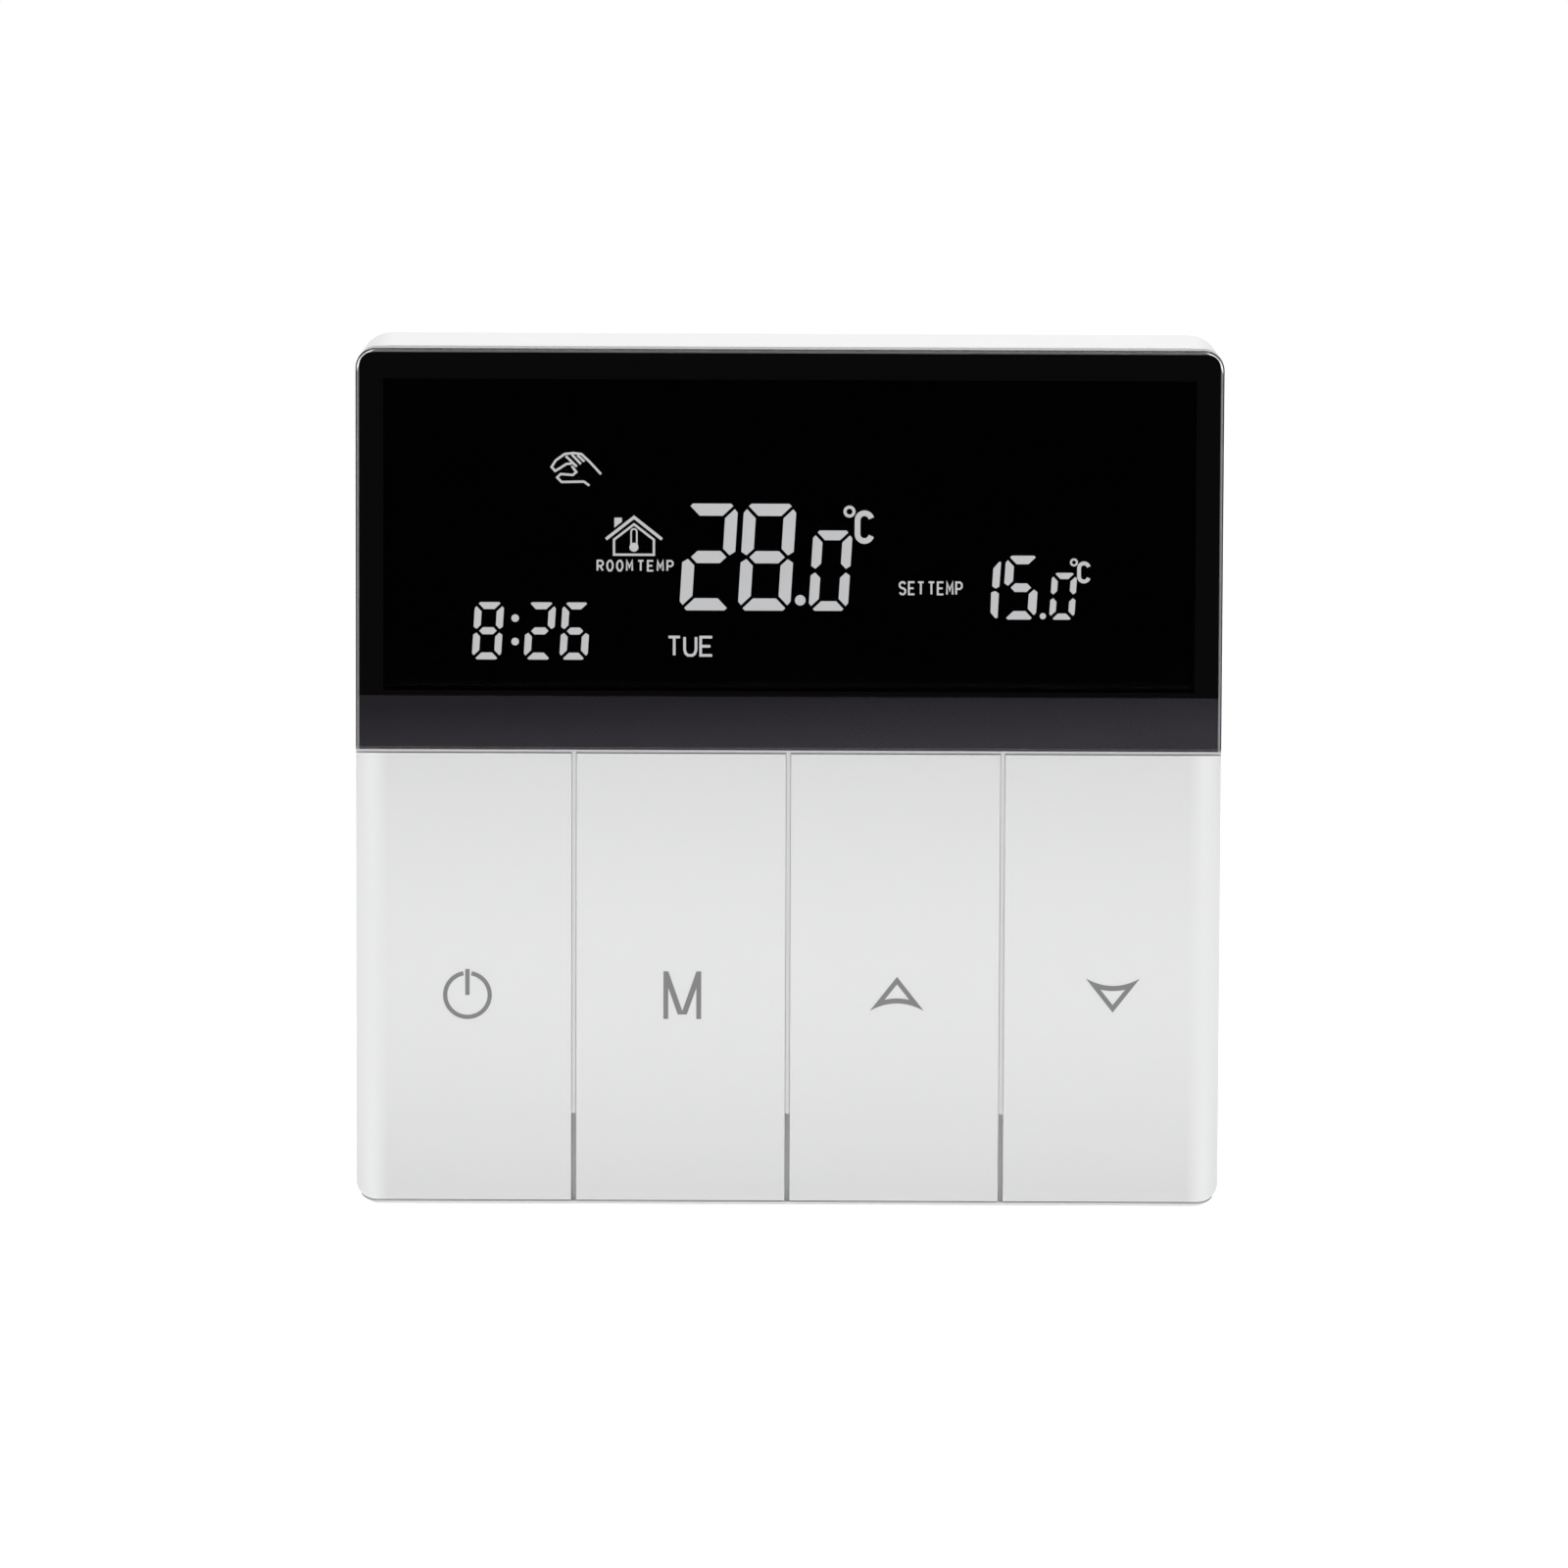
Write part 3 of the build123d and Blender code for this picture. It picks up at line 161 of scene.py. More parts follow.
# ---------------------------------------------------------------- shader maths
class Value:
    """A shader socket that can stand in a Python expression."""

    def __init__(self, paint, socket):
        self.paint = paint
        self.socket = socket

    def maths(self, operation, *values):
        return self.paint.node("ShaderNodeMath", {"operation": operation}, values)

    def __add__(self, other):
        return self.maths("ADD", self, other)

    def __radd__(self, other):
        return self.maths("ADD", other, self)

    def __sub__(self, other):
        return self.maths("SUBTRACT", self, other)

    def __rsub__(self, other):
        return self.maths("SUBTRACT", other, self)

    def __mul__(self, other):
        return self.maths("MULTIPLY", self, other)

    def __rmul__(self, other):
        return self.maths("MULTIPLY", other, self)

    def __truediv__(self, other):
        return self.maths("DIVIDE", self, other)

    def __pow__(self, other):
        return self.maths("POWER", self, other)

    def __abs__(self):
        return self.maths("ABSOLUTE", self)

    def __gt__(self, other):
        return self.maths("GREATER_THAN", self, other)

    def __lt__(self, other):
        return self.maths("LESS_THAN", self, other)

    def fraction(self):
        return self.maths("FRACT", self)

    def largest(self, other):
        return self.maths("MAXIMUM", self, other)


class Paint:
    """One material and its nodes."""

    def __init__(self, name):
        self.material = bpy.data.materials.new(name)
        self.material.use_nodes = True
        self.tree = self.material.node_tree
        self.shader = self.tree.nodes["Principled BSDF"]
        self.output = self.tree.nodes["Material Output"]

    def node(self, kind, settings=None, inputs=(), out=0):
        """Adds a node, its settings first, then its sockets by place or by name, and gives one output."""
        made = self.tree.nodes.new(kind)
        for name, value in (settings or {}).items():
            setattr(made, name, value)
        pairs = inputs.items() if isinstance(inputs, dict) else enumerate(inputs)
        for name, value in pairs:
            self.feed(made.inputs[name], value)
        return Value(self, made.outputs[out])

    def feed(self, socket, value):
        if isinstance(value, Value):
            self.tree.links.new(value.socket, socket)
        elif value is not None:
            socket.default_value = value

    def place(self):
        """The point on the piece, in millimetres."""
        spot = self.node("ShaderNodeTexCoord", out="Object")
        return self.node("ShaderNodeVectorMath", {"operation": "SCALE"}, {"Vector": spot, "Scale": 1 / MM})

    def parted(self, vector):
        split = self.node("ShaderNodeSeparateXYZ", inputs=(vector,))
        return tuple(Value(self, output) for output in split.socket.node.outputs)

    def axes(self):
        """The point's X, Y and Z in millimetres."""
        return self.parted(self.place())

    def facing(self):
        """The surface's own normal as X, Y and Z."""
        return self.parted(self.node("ShaderNodeTexCoord", out="Normal"))

    def noise(self, per_mm, detail=2.0, rough=0.5, stretch=(1, 1, 1)):
        spot = self.node(
            "ShaderNodeVectorMath", {"operation": "MULTIPLY"}, (self.place(), tuple(stretch))
        )
        sockets = {"Vector": spot, "Scale": per_mm, "Detail": detail, "Roughness": rough}
        return self.node("ShaderNodeTexNoise", inputs=sockets)

    def cells(self, per_mm, feature="F1", out="Distance"):
        return self.node(
            "ShaderNodeTexVoronoi", {"feature": feature}, {"Vector": self.place(), "Scale": per_mm}, out=out
        )

    def ramp(self, value, low, high, start=0.0, end=1.0):
        """A value eased from start to end while it goes from low to high."""
        return self.node("ShaderNodeMapRange", inputs=(value, low, high, start, end))

    def blend(self, share, first, second):
        """The first colour where share is 0 and the second where it is 1."""
        made = self.tree.nodes.new("ShaderNodeMix")
        made.data_type = "RGBA"
        self.feed(made.inputs["Factor"], share)
        colours = [i for i in made.inputs if i.type == "RGBA"]
        self.feed(colours[0], colour(first))
        self.feed(colours[1], colour(second))
        return Value(self, next(o for o in made.outputs if o.type == "RGBA"))

    def bump(self, height, depth_mm, strength=1.0):
        sockets = {"Strength": strength, "Distance": depth_mm * MM, "Height": height}
        return self.node("ShaderNodeBump", inputs=sockets)

    def set(self, **sockets):
        """Feeds the surface shader, as base_color=... for its Base Color socket."""
        for name, value in sockets.items():
            self.feed(self.shader.inputs[name.replace("_", " ").title().replace("Ior", "IOR")], colour(value))


def colour(value):
    """Three numbers as a colour with its alpha. Anything else as it is."""
    return (*value, 1.0) if isinstance(value, (tuple, list)) and len(value) == 3 else value


def moulded(name, base, roughness=0.42, grain=6.0, depth=0.004, wear=0.03):
    """Moulded plastic with a fine spark-eroded grain and slightly uneven gloss."""
    paint = Paint(name)
    base = tuple(base)
    cloud = paint.noise(0.12, detail=3.0)
    fine = paint.noise(grain, detail=1.0)
    darker = tuple(c * (1 - wear) for c in base)
    paint.set(
        base_color=paint.blend(cloud, darker, base),
        roughness=paint.ramp(cloud, 0.3, 0.7, roughness - 0.03, roughness + 0.04),
        normal=paint.bump(fine, depth, 0.35),
    )
    return paint


def plated(name, base, roughness=0.3, stretch=(1, 1, 12), grain=4.0):
    """Plated or bare metal with drawn scratches."""
    paint = Paint(name)
    scratches = paint.noise(grain, detail=3.0, stretch=stretch)
    cloud = paint.noise(0.5)
    base = tuple(base)
    paint.set(
        base_color=paint.blend(cloud, tuple(c * 0.82 for c in base), base),
        metallic=1.0,
        roughness=paint.ramp(scratches, 0.3, 0.7, roughness * 0.8, roughness * 1.3),
        normal=paint.bump(scratches, 0.003, 0.4),
    )
    return paint


def finish(node, paint):
    """Gives a CAD node its material."""
    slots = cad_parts[node].data.materials
    slots.clear()
    slots.append(paint.material)


# ---------------------------------------------------------------- flat shapes
def arc(centre, radius, start, end, steps=16):
    """Points along an arc, its angles in degrees from the right, turning left."""
    angles = [math.radians(start + (end - start) * i / steps) for i in range(steps + 1)]
    return [(centre[0] + radius * math.cos(a), centre[1] + radius * math.sin(a)) for a in angles]


def disc(centre, radius, steps=24):
    return [arc(centre, radius, 0, 360, steps)[:-1]]


def stroke(points, width, closed=False):
    """Faces of a line of even width through the points, with mitred corners."""
    line = [Vector(p) for p in points]
    count = len(line)
    edges = []
    for i, point in enumerate(line):
        before = line[i - 1] if i > 0 or closed else None
        after = line[(i + 1) % count] if i < count - 1 or closed else None
        pairs = ((before, point), (point, after))
        steps = [(b - a).normalized() for a, b in pairs if a is not None and b is not None]
        along = sum(steps, Vector((0, 0))).normalized()
        across = Vector((-along.y, along.x)) * (width / 2 / max(0.45, along.dot(steps[0])))
        edges.append((tuple(point + across), tuple(point - across)))
    turns = range(count if closed else count - 1)
    return [[edges[i][1], edges[(i + 1) % count][1], edges[(i + 1) % count][0], edges[i][0]] for i in turns]


def strip(outer, inner, closed=False):
    """Faces between two lines with as many points."""
    count = len(outer)
    turns = range(count if closed else count - 1)
    return [[outer[i], outer[(i + 1) % count], inner[(i + 1) % count], inner[i]] for i in turns]


def moved(faces, x, z):
    return [[(px + x, pz + z) for px, pz in face] for face in faces]


def flat_piece(name, faces, back_y, front_y):
    """A thin solid from faces drawn in millimetres across and up, between two places along Y in metres."""
    shape = bmesh.new()
    for face in faces:
        shape.faces.new([shape.verts.new((x * MM, front_y, z * MM)) for x, z in face])
    bmesh.ops.remove_doubles(shape, verts=shape.verts, dist=0.0005 * MM)
    bmesh.ops.recalc_face_normals(shape, faces=shape.faces)
    grown = bmesh.ops.extrude_face_region(shape, geom=shape.faces[:])
    sunk = [v for v in grown["geom"] if isinstance(v, bmesh.types.BMVert)]
    bmesh.ops.translate(shape, verts=sunk, vec=(0, back_y - front_y, 0))
    bmesh.ops.recalc_face_normals(shape, faces=shape.faces)
    return mesh_piece(name, shape)


def mesh_piece(name, shape):
    mesh = bpy.data.meshes.new(name)
    shape.to_mesh(mesh)
    shape.free()
    piece = bpy.data.objects.new(name, mesh)
    bpy.context.scene.collection.objects.link(piece)
    return piece


def lettering(word, place, width, height, line, share=0.8, blank=0.15):
    """Faces of a word centred on a place. Each letter fills its share of a step, and so does a blank."""
    step = width / (len(word.replace(" ", "")) + blank * word.count(" ") - 1 + share)
    letter = step * share
    faces = []
    left = place[0] - width / 2
    for mark in word:
        for points in LETTERS.get(mark, []):
            drawn = [
                (left + line / 2 + x * (letter - line), place[1] + (z - 0.5) * (height - line))
                for x, z in points
            ]
            faces += stroke(drawn, line)
        left += step * (blank if mark == " " else 1)
    return faces


def bar_shapes(width, height, bar, gap):
    """The seven bars of a digit, its foot at 0 and its middle across at 0."""
    left, right, top, half = -width / 2, width / 2, height, height / 2
    skew = gap / math.sqrt(2)
    peak = bar * 0.25
    shoulder = bar * 0.3
    upper_right = [
        (right - bar, half + bar / 2 + skew),
        (right - bar * 0.45, half + skew * 0.8),
        (right, half + skew + bar * 0.25),
        (right, top - peak - skew - shoulder),
        (right - peak, top - peak - skew),
        (right - bar, top - bar - skew),
    ]
    top_bar = [
        (left + bar + skew, top - bar),
        (right - bar - skew, top - bar),
        (right - bar * 0.2 - skew, top - bar * 0.2),
        (right - bar * 0.4 - skew, top),
        (left + bar * 0.4 + skew, top),
        (left + bar * 0.2 + skew, top - bar * 0.2),
    ]
    middle = [
        (left + bar * 0.5 + skew, half),
        (left + bar + skew, half - bar / 2),
        (right - bar - skew, half - bar / 2),
        (right - bar * 0.5 - skew, half),
        (right - bar - skew, half + bar / 2),
        (left + bar + skew, half + bar / 2),
    ]

    def over(points):
        return [(x, height - z) for x, z in reversed(points)]

    def across(points):
        return [(-x, z) for x, z in reversed(points)]

    return {
        "a": top_bar,
        "b": upper_right,
        "c": over(upper_right),
        "d": over(top_bar),
        "e": over(across(upper_right)),
        "f": across(upper_right),
        "g": middle,
    }


def digit(mark, middle, foot, width, height, bar, settings):
    """Faces of one slanted digit."""
    shapes = bar_shapes(width, height, bar, settings.gap / MM)
    lean = math.tan(settings.slant)
    return [
        [(middle + x + (z - height / 2) * lean, foot + z) for x, z in shapes[letter]]
        for letter in LIT_BARS[mark]
    ]


def number(digits, foot, settings):
    faces = []
    for mark, middle, width, height, bar in digits:
        faces += digit(mark, middle, foot, width, height, bar, settings)
    return faces


def degree_mark(place, radius, line, letter_place, letter_size, letter_line):
    """A small ring and a round capital C."""
    ring = stroke(arc(place, radius - line / 2, 0, 360, 20)[:-1], line, closed=True)
    width, height = letter_size
    turn = (width - letter_line) / 2
    x, z = letter_place
    upper = arc((x, z + height / 2 - letter_line / 2 - turn), turn, 15, 180, 10)
    lower = arc((x, z - height / 2 + letter_line / 2 + turn), turn, 180, 345, 10)
    return ring + stroke(upper + lower, letter_line)


# ---------------------------------------------------------------- display figures
def room_figures(settings):
    faces = number(ROOM_DIGITS, ROOM_FOOT, settings)
    faces += disc((1.1, 17.75), 0.53)
    faces += degree_mark((5.95, 26.65), 0.6, 0.3, (7.45, 25.1), (1.95, 3.35), 0.56)
    return faces


def set_figures(settings):
    faces = number(SET_DIGITS, SET_FOOT, settings)
    faces += disc((25.2, 16.25), 0.31)
    faces += degree_mark((28.25, 21.65), 0.4, 0.2, (29.25, 20.65), (1.35, 2.2), 0.38)
    # the narrow figure one, in two halves
    lower = [(20.05, 18.6), (20.0, 16.6), (20.45, 16.05), (20.7, 16.05), (20.82, 18.5), (20.45, 18.75)]
    upper = [(20.15, 19.25), (20.5, 19.0), (20.86, 19.2), (21.02, 21.65), (20.85, 21.7), (20.25, 21.0)]
    return faces + [lower[::-1], upper[::-1]]


def clock_figures(settings):
    faces = number(CLOCK_DIGITS, CLOCK_FOOT, settings)
    for z in (13.5, 15.85):
        faces += disc((-27.2, z), 0.38)
    return faces


def house_symbol():
    """A house outline with a chimney and a thermometer inside."""
    x = -15.42
    roof = stroke([(x - 2.78, 23.8), (x, 26.0), (x + 2.78, 23.8)], 0.3)
    corners = [(x - 1.98, 23.75), (x, 25.3), (x + 1.98, 23.75), (x + 1.98, 22.25), (x - 1.98, 22.25)]
    walls = stroke(corners, 0.23, closed=True)
    chimney = [[(x - 1.95, 24.95), (x - 1.2, 25.55), (x - 1.2, 25.95), (x - 1.95, 25.95)]]
    tube = arc((x, 24.55), 0.28, 0, 180, 8) + arc((x, 23.3), 0.28, 180, 360, 8)
    return roof + walls + chimney + stroke(tube, 0.16, closed=True) + disc((x, 23.0), 0.45)


def hand_symbol():
    """An open outline of a hand seen from the side, for manual setting."""
    x, z = -21.2, 30.8
    back = [(2.5, -0.5), (1.4, 0.7), (0.55, 1.5), (-0.25, 1.6), (-1.1, 1.5), (-2.0, 0.85), (-2.4, 0.2)]
    finger = [(-2.05, -0.2), (-1.55, 0.1), (-0.95, 0.5), (-0.4, 0.55)]
    thumb = [(-0.4, 0.3), (0.05, -0.3), (-0.3, -0.6), (-1.5, -0.5), (-1.85, -0.85), (-1.4, -1.3)]
    wrist = [(-1.4, -1.3), (0.8, -1.25), (1.35, -1.65)]
    knuckles = [[(-1.0, 1.3), (0.1, 0.25)], [(-0.4, 1.45), (0.5, 0.5)], [(0.15, 1.4), (0.85, 0.75)]]
    faces = []
    for line in (back + finger, thumb + wrist[1:], *knuckles):
        faces += stroke(line, 0.23)
    return moved(faces, x, z)


class FIGURES_OT_display(bpy.types.Operator):
    """Makes the lit figures, words and symbols on the display"""

    bl_idname = "thermostat.display_figures"
    bl_label = "Display Figures"

    def execute(self, context):
        settings = context.scene.thermostat_figures
        lit = Paint("lit_figure")
        uneven = lit.noise(0.35)
        lit.set(
            base_color=(0.02, 0.02, 0.022),
            roughness=0.6,
            emission_color=lit.blend(uneven, tuple(c * 0.93 for c in settings.tint), tuple(settings.tint)),
            emission_strength=settings.light,
        )
        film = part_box("polariser_film")[0].y
        back = film - settings.lift
        front = back - settings.sheet
        groups = {
            "room_temperature_figures": room_figures(settings),
            "set_temperature_figures": set_figures(settings),
            "clock_figures": clock_figures(settings),
            "weekday_letters": lettering("TUE", (-9.8, 13.1), 4.6, 2.1, 0.27, share=0.88),
            "set_label": lettering("SET TEMP", (14.05, 19.0), 6.35, 1.4, 0.19, share=0.82),
            "room_label": lettering("ROOM TEMP", (-15.3, 21.15), 7.65, 1.17, 0.18, share=0.74),
            "house_symbol": house_symbol(),
            "hand_symbol": hand_symbol(),
        }
        for name, faces in groups.items():
            piece = flat_piece(name, faces, back, front)
            piece.data.materials.append(lit.material)
            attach(piece, UNIT)
        return {"FINISHED"}


# ---------------------------------------------------------------- key symbols
def power_symbol():
    radius, line, notch = 2.43, 0.42, 0.4
    start = 90 + math.degrees(math.asin(notch / (radius - line / 2)))
    ring = stroke(arc((0, 0), radius - line / 2, start, 360 + 180 - start, 48), line)
    return ring + stroke([(0, 2.62), (0, 0)], 0.43)


def mode_symbol():
    """The letter M with upright stems and a flat foot to its V."""
    half, tall, stem = 1.88, 2.4, 0.48
    shoulder, foot, foot_half, notch = 0.75, -1.95, 0.45, -1.6
    right = [
        [(half - stem, -tall), (half, -tall), (half, tall), (half - stem, tall), (half - stem, shoulder)],
        [(foot_half, foot), (half - stem, shoulder), (half - stem, tall), (0, notch), (0, foot)],
    ]
    left = [[(-x, z) for x, z in reversed(face)] for face in right]
    return right + left


def arrow_symbol(turn=1):
    """A hollow arrowhead with a hollowed base, pointing up, or down where turn is -1."""
    tip, side, fall = 1.9, 2.68, -1.52
    inner_tip, inner_side, inner_fall = 1.15, 1.24, -0.42
    outer_sag, inner_sag = 0.74, 0.14

    def base(half, level, sag, steps=12):
        shares = [1 - 2 * i / steps for i in range(steps + 1)]
        return [(half * s, level + sag * (1 - s * s)) for s in shares]

    outer = [(0, tip)] + base(side, fall, outer_sag)
    inner = [(0, inner_tip)] + base(inner_side, inner_fall, inner_sag)
    faces = strip(outer, inner, closed=True)
    return [[(x, z * turn) for x, z in face] for face in faces]


class SYMBOLS_OT_keys(bpy.types.Operator):
    """Makes the keys' finish and the grey symbols printed on them"""

    bl_idname = "thermostat.key_symbols"
    bl_label = "Keys"

    @staticmethod
    def key_plastic(base):
        """Satin white with painted light: paler across the middle, with painted shade towards the top and
        bottom ends and a painted highlight along the two outer edges.
        """
        paint = moulded("key_white", base, roughness=0.36, grain=8.0, depth=0.002)
        low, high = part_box(KEYS[0])
        palest, painted_shade_dim, pale = 1.5, 0.885, 1.05
        painted_highlight_starts, painted_highlight_ends = (39.8, 41.2), (41.8, 42.8)
        x, _, z = paint.axes()
        middle = (low.z + high.z) / 2 / MM + palest
        reach = (high.z - low.z) / 2 / MM
        away = abs(z - middle) / reach
        # painted shade: the white darkens towards the top and bottom ends of the keys
        tone = paint.ramp(away ** 2, 0.0, 1.0, 1.0, 0.0)
        # painted highlight: the white pales along the two outer edges of the row of keys
        side = paint.ramp(abs(x), *painted_highlight_starts) * paint.ramp(abs(x), *painted_highlight_ends, 1.0, 0.4)
        cloud = paint.noise(0.12, detail=3.0)
        flat = paint.blend(tone, tuple(c * painted_shade_dim for c in base), base)
        lit = paint.blend(side, flat, tuple(c * pale for c in base))
        paint.set(base_color=paint.blend(0.1 * cloud, lit, tuple(c * 0.9 for c in base)))
        return paint

    def execute(self, context):
        settings = context.scene.thermostat_keys
        plastic = self.key_plastic(tuple(settings.plastic))
        ink = moulded("symbol_grey", settings.print_grey, 0.5, grain=14.0, depth=0.002, wear=0.06)
        shapes = (power_symbol(), mode_symbol(), arrow_symbol(), arrow_symbol(-1))
        for key, shape, (aside, up) in zip(KEYS, shapes, SYMBOL_SHIFTS):
            finish(key, plastic)
            low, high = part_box(key)
            middle = (low.x + high.x) / 2 / MM
            faces = moved(shape, middle + aside, settings.symbol_z / MM + up)
            name = key.replace("_key", "_symbol")
            piece = flat_piece(name, faces, low.y + settings.print_sink, low.y - settings.print_sheet)
            piece.data.materials.append(ink.material)
            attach(piece, key)
        return {"FINISHED"}


# ---------------------------------------------------------------- shell and display
class SHELL_OT_front(bpy.types.Operator):
    """Finishes the housing, the lens and everything that shows through it"""

    bl_idname = "thermostat.shell"
    bl_label = "Shell and Display"

    def execute(self, context):
        settings = context.scene.thermostat_shell
        finish("front_housing", moulded("housing_white", settings.plastic, roughness=0.4))
        finish("lcd_holder", moulded("holder_black", (0.008, 0.008, 0.008), roughness=0.7, depth=0.008))
        finish("display_lens", self.clear_acrylic(settings.lens_bend))
        # the mask print's last number is a faint painted glow, in place of light that the lens keeps from it
        finish("lens_mask", self.dark_film("mask_print", 0.014, 0.35, 0.5, 0.0028))
        finish("lens_tape", self.foam())
        finish("lcd_panel", self.dark_film("display_glass", 0.003, 0.05))
        finish("polariser_film", self.dark_film("polariser", 0.0022, 0.03, 0.05))
        finish("backlight_guide", self.dotted_guide())
        finish("backlight_leds", self.lamps())
        finish("lcd_pins", plated("tinned_pin", (0.72, 0.72, 0.7), roughness=0.35))
        return {"FINISHED"}

    @staticmethod
    def clear_acrylic(bend):
        paint = Paint("clear_acrylic")
        paint.set(base_color=(1.0, 1.0, 1.0), roughness=0.0, ior=bend, transmission_weight=1.0)
        paint.set(specular_tint=(0.93, 0.83, 1.0))
        return paint

    @staticmethod
    def dark_film(name, shade, roughness, shine=0.1, painted_glow=0.0):
        """Black print, film or glass with fine threads along X and a faint painted glow that stands in for
        scattered light which barely reaches it through the lens.
        """
        paint = Paint(name)
        threads = paint.noise(3.0, detail=2.0, stretch=(0.05, 1, 6))
        paint.set(
            base_color=paint.blend(threads, (shade * 0.7,) * 3, (shade * 1.3, shade * 1.2, shade * 1.3)),
            roughness=paint.ramp(threads, 0.3, 0.7, roughness * 0.9, roughness * 1.15),
            specular_ior_level=shine,
            # painted light: a faint glow in place of the light that barely reaches the print
            emission_color=paint.blend(threads, (painted_glow * 0.8,) * 3, (painted_glow * 1.25, painted_glow * 1.15, painted_glow * 1.35)),
            emission_strength=1.0,
        )
        return paint

    @staticmethod
    def foam():
        paint = Paint("tape_foam")
        bubbles = paint.cells(7.0)
        paint.set(
            base_color=paint.blend(bubbles, (0.012, 0.012, 0.012), (0.035, 0.035, 0.035)),
            roughness=0.9,
            normal=paint.bump(bubbles, 0.03, 0.6),
        )
        return paint

    @staticmethod
    def dotted_guide():
        """Clear light guide with a printed dot pattern on it."""
        paint = Paint("light_guide")
        dots = paint.cells(1.6) < 0.2
        paint.set(
            base_color=paint.blend(dots, (0.74, 0.79, 0.82), (0.95, 0.95, 0.95)),
            roughness=paint.ramp(dots, 0.0, 1.0, 0.08, 0.5),
        )
        return paint

    @staticmethod
    def lamps():
        """White lamp bodies with yellow resin at the end that faces the guide."""
        paint = Paint("lamp_package")
        resin_depth = 1.9
        _, depth, _ = paint.axes()
        resin = depth < (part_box("backlight_leds")[0].y / MM + resin_depth)
        paint.set(
            base_color=paint.blend(resin, (0.85, 0.85, 0.82), (0.8, 0.55, 0.06)),
            roughness=paint.ramp(resin, 0.0, 1.0, 0.45, 0.15),
        )
        return paint


# ---------------------------------------------------------------- control board
def repeated(name, build, material):
    """Runs a Geometry Nodes tree on an empty mesh and gives the result as a plain mesh piece."""
    piece = bpy.data.objects.new(name, bpy.data.meshes.new(name))
    bpy.context.scene.collection.objects.link(piece)
    tree = bpy.data.node_groups.new(name, "GeometryNodeTree")
    tree.interface.new_socket("Geometry", in_out="OUTPUT", socket_type="NodeSocketGeometry")
    values = build(tree, material)
    changer = piece.modifiers.new(name, "NODES")
    changer.node_group = tree
    for socket in tree.interface.items_tree:
        if socket.in_out == "INPUT" and socket.name in values:
            changer[socket.identifier] = values[socket.name]
    graph = bpy.context.evaluated_depsgraph_get()
    solid = bpy.data.meshes.new_from_object(piece.evaluated_get(graph))
    piece.modifiers.clear()
    piece.data = solid
    return piece


class Growth:
    """Adds the nodes of one Geometry Nodes tree."""

    def __init__(self, tree):
        self.tree = tree
        self.inputs = tree.nodes.new("NodeGroupInput")
        self.output = tree.nodes.new("NodeGroupOutput")

    def named(self, name, kind, default):
        """A named input of the tree, with its default."""
        socket = self.tree.interface.new_socket(name, in_out="INPUT", socket_type=kind)
        socket.default_value = default
        return self.inputs.outputs[name]

    def node(self, kind, settings=None, inputs=None, out=0):
        made = self.tree.nodes.new(kind)
        for name, value in (settings or {}).items():
            setattr(made, name, value)
        for name, value in (inputs or {}).items():
            if isinstance(value, bpy.types.NodeSocket):
                self.tree.links.new(value, made.inputs[name])
            else:
                made.inputs[name].default_value = value
        return made.outputs[out]

    def join(self, *parts):
        made = self.tree.nodes.new("GeometryNodeJoinGeometry")
        for part in parts:
            self.tree.links.new(part, made.inputs[0])
        return made.outputs[0]

    def random(self, kind, inputs):
        """A random value of one kind for each point. The node has sockets of every kind under one name."""
        made = self.tree.nodes.new("FunctionNodeRandomValue")
        made.data_type = kind
        for socket in made.inputs:
            if socket.enabled and socket.name in inputs:
                value = inputs[socket.name]
                if isinstance(value, bpy.types.NodeSocket):
                    self.tree.links.new(value, socket)
                else:
                    socket.default_value = value
        return next(o for o in made.outputs if o.enabled)

    def finish(self, *painted):
        """Ends the tree: makes each geometry real and gives it its material."""
        done = []
        for geometry, material in painted:
            real = self.node("GeometryNodeRealizeInstances", inputs={"Geometry": geometry})
            done.append(self.node("GeometryNodeSetMaterial", inputs={"Geometry": real, "Material": material}))
        self.tree.links.new(self.join(*done) if len(done) > 1 else done[0], self.output.inputs[0])


def cone_row(count, step, start, radius, height):
    """A tree for a row of solder cones that point along +Y."""

    def build(tree, material):
        grow = Growth(tree)
        values = {"Count": count, "Step": step, "Start": start, "Radius": radius, "Height": height}
        kinds = ("Int", "Vector", "Vector", "Float", "Float")
        number_in, step_in, start_in, radius_in, height_in = (
            grow.named(name, f"NodeSocket{kind}", values[name]) for name, kind in zip(values, kinds)
        )
        line = grow.node(
            "GeometryNodeMeshLine", {"mode": "OFFSET"},
            {"Count": number_in, "Start Location": start_in, "Offset": step_in},
        )
        cone = grow.node(
            "GeometryNodeMeshCone",
            inputs={
                "Vertices": 12, "Radius Bottom": radius_in, "Radius Top": radius * 0.35, "Depth": height_in,
            },
        )
        rows = grow.node(
            "GeometryNodeInstanceOnPoints",
            inputs={"Points": line, "Instance": cone, "Rotation": (-math.pi / 2, 0.0, 0.0)},
        )
        grow.finish((rows, material))
        return values

    return build


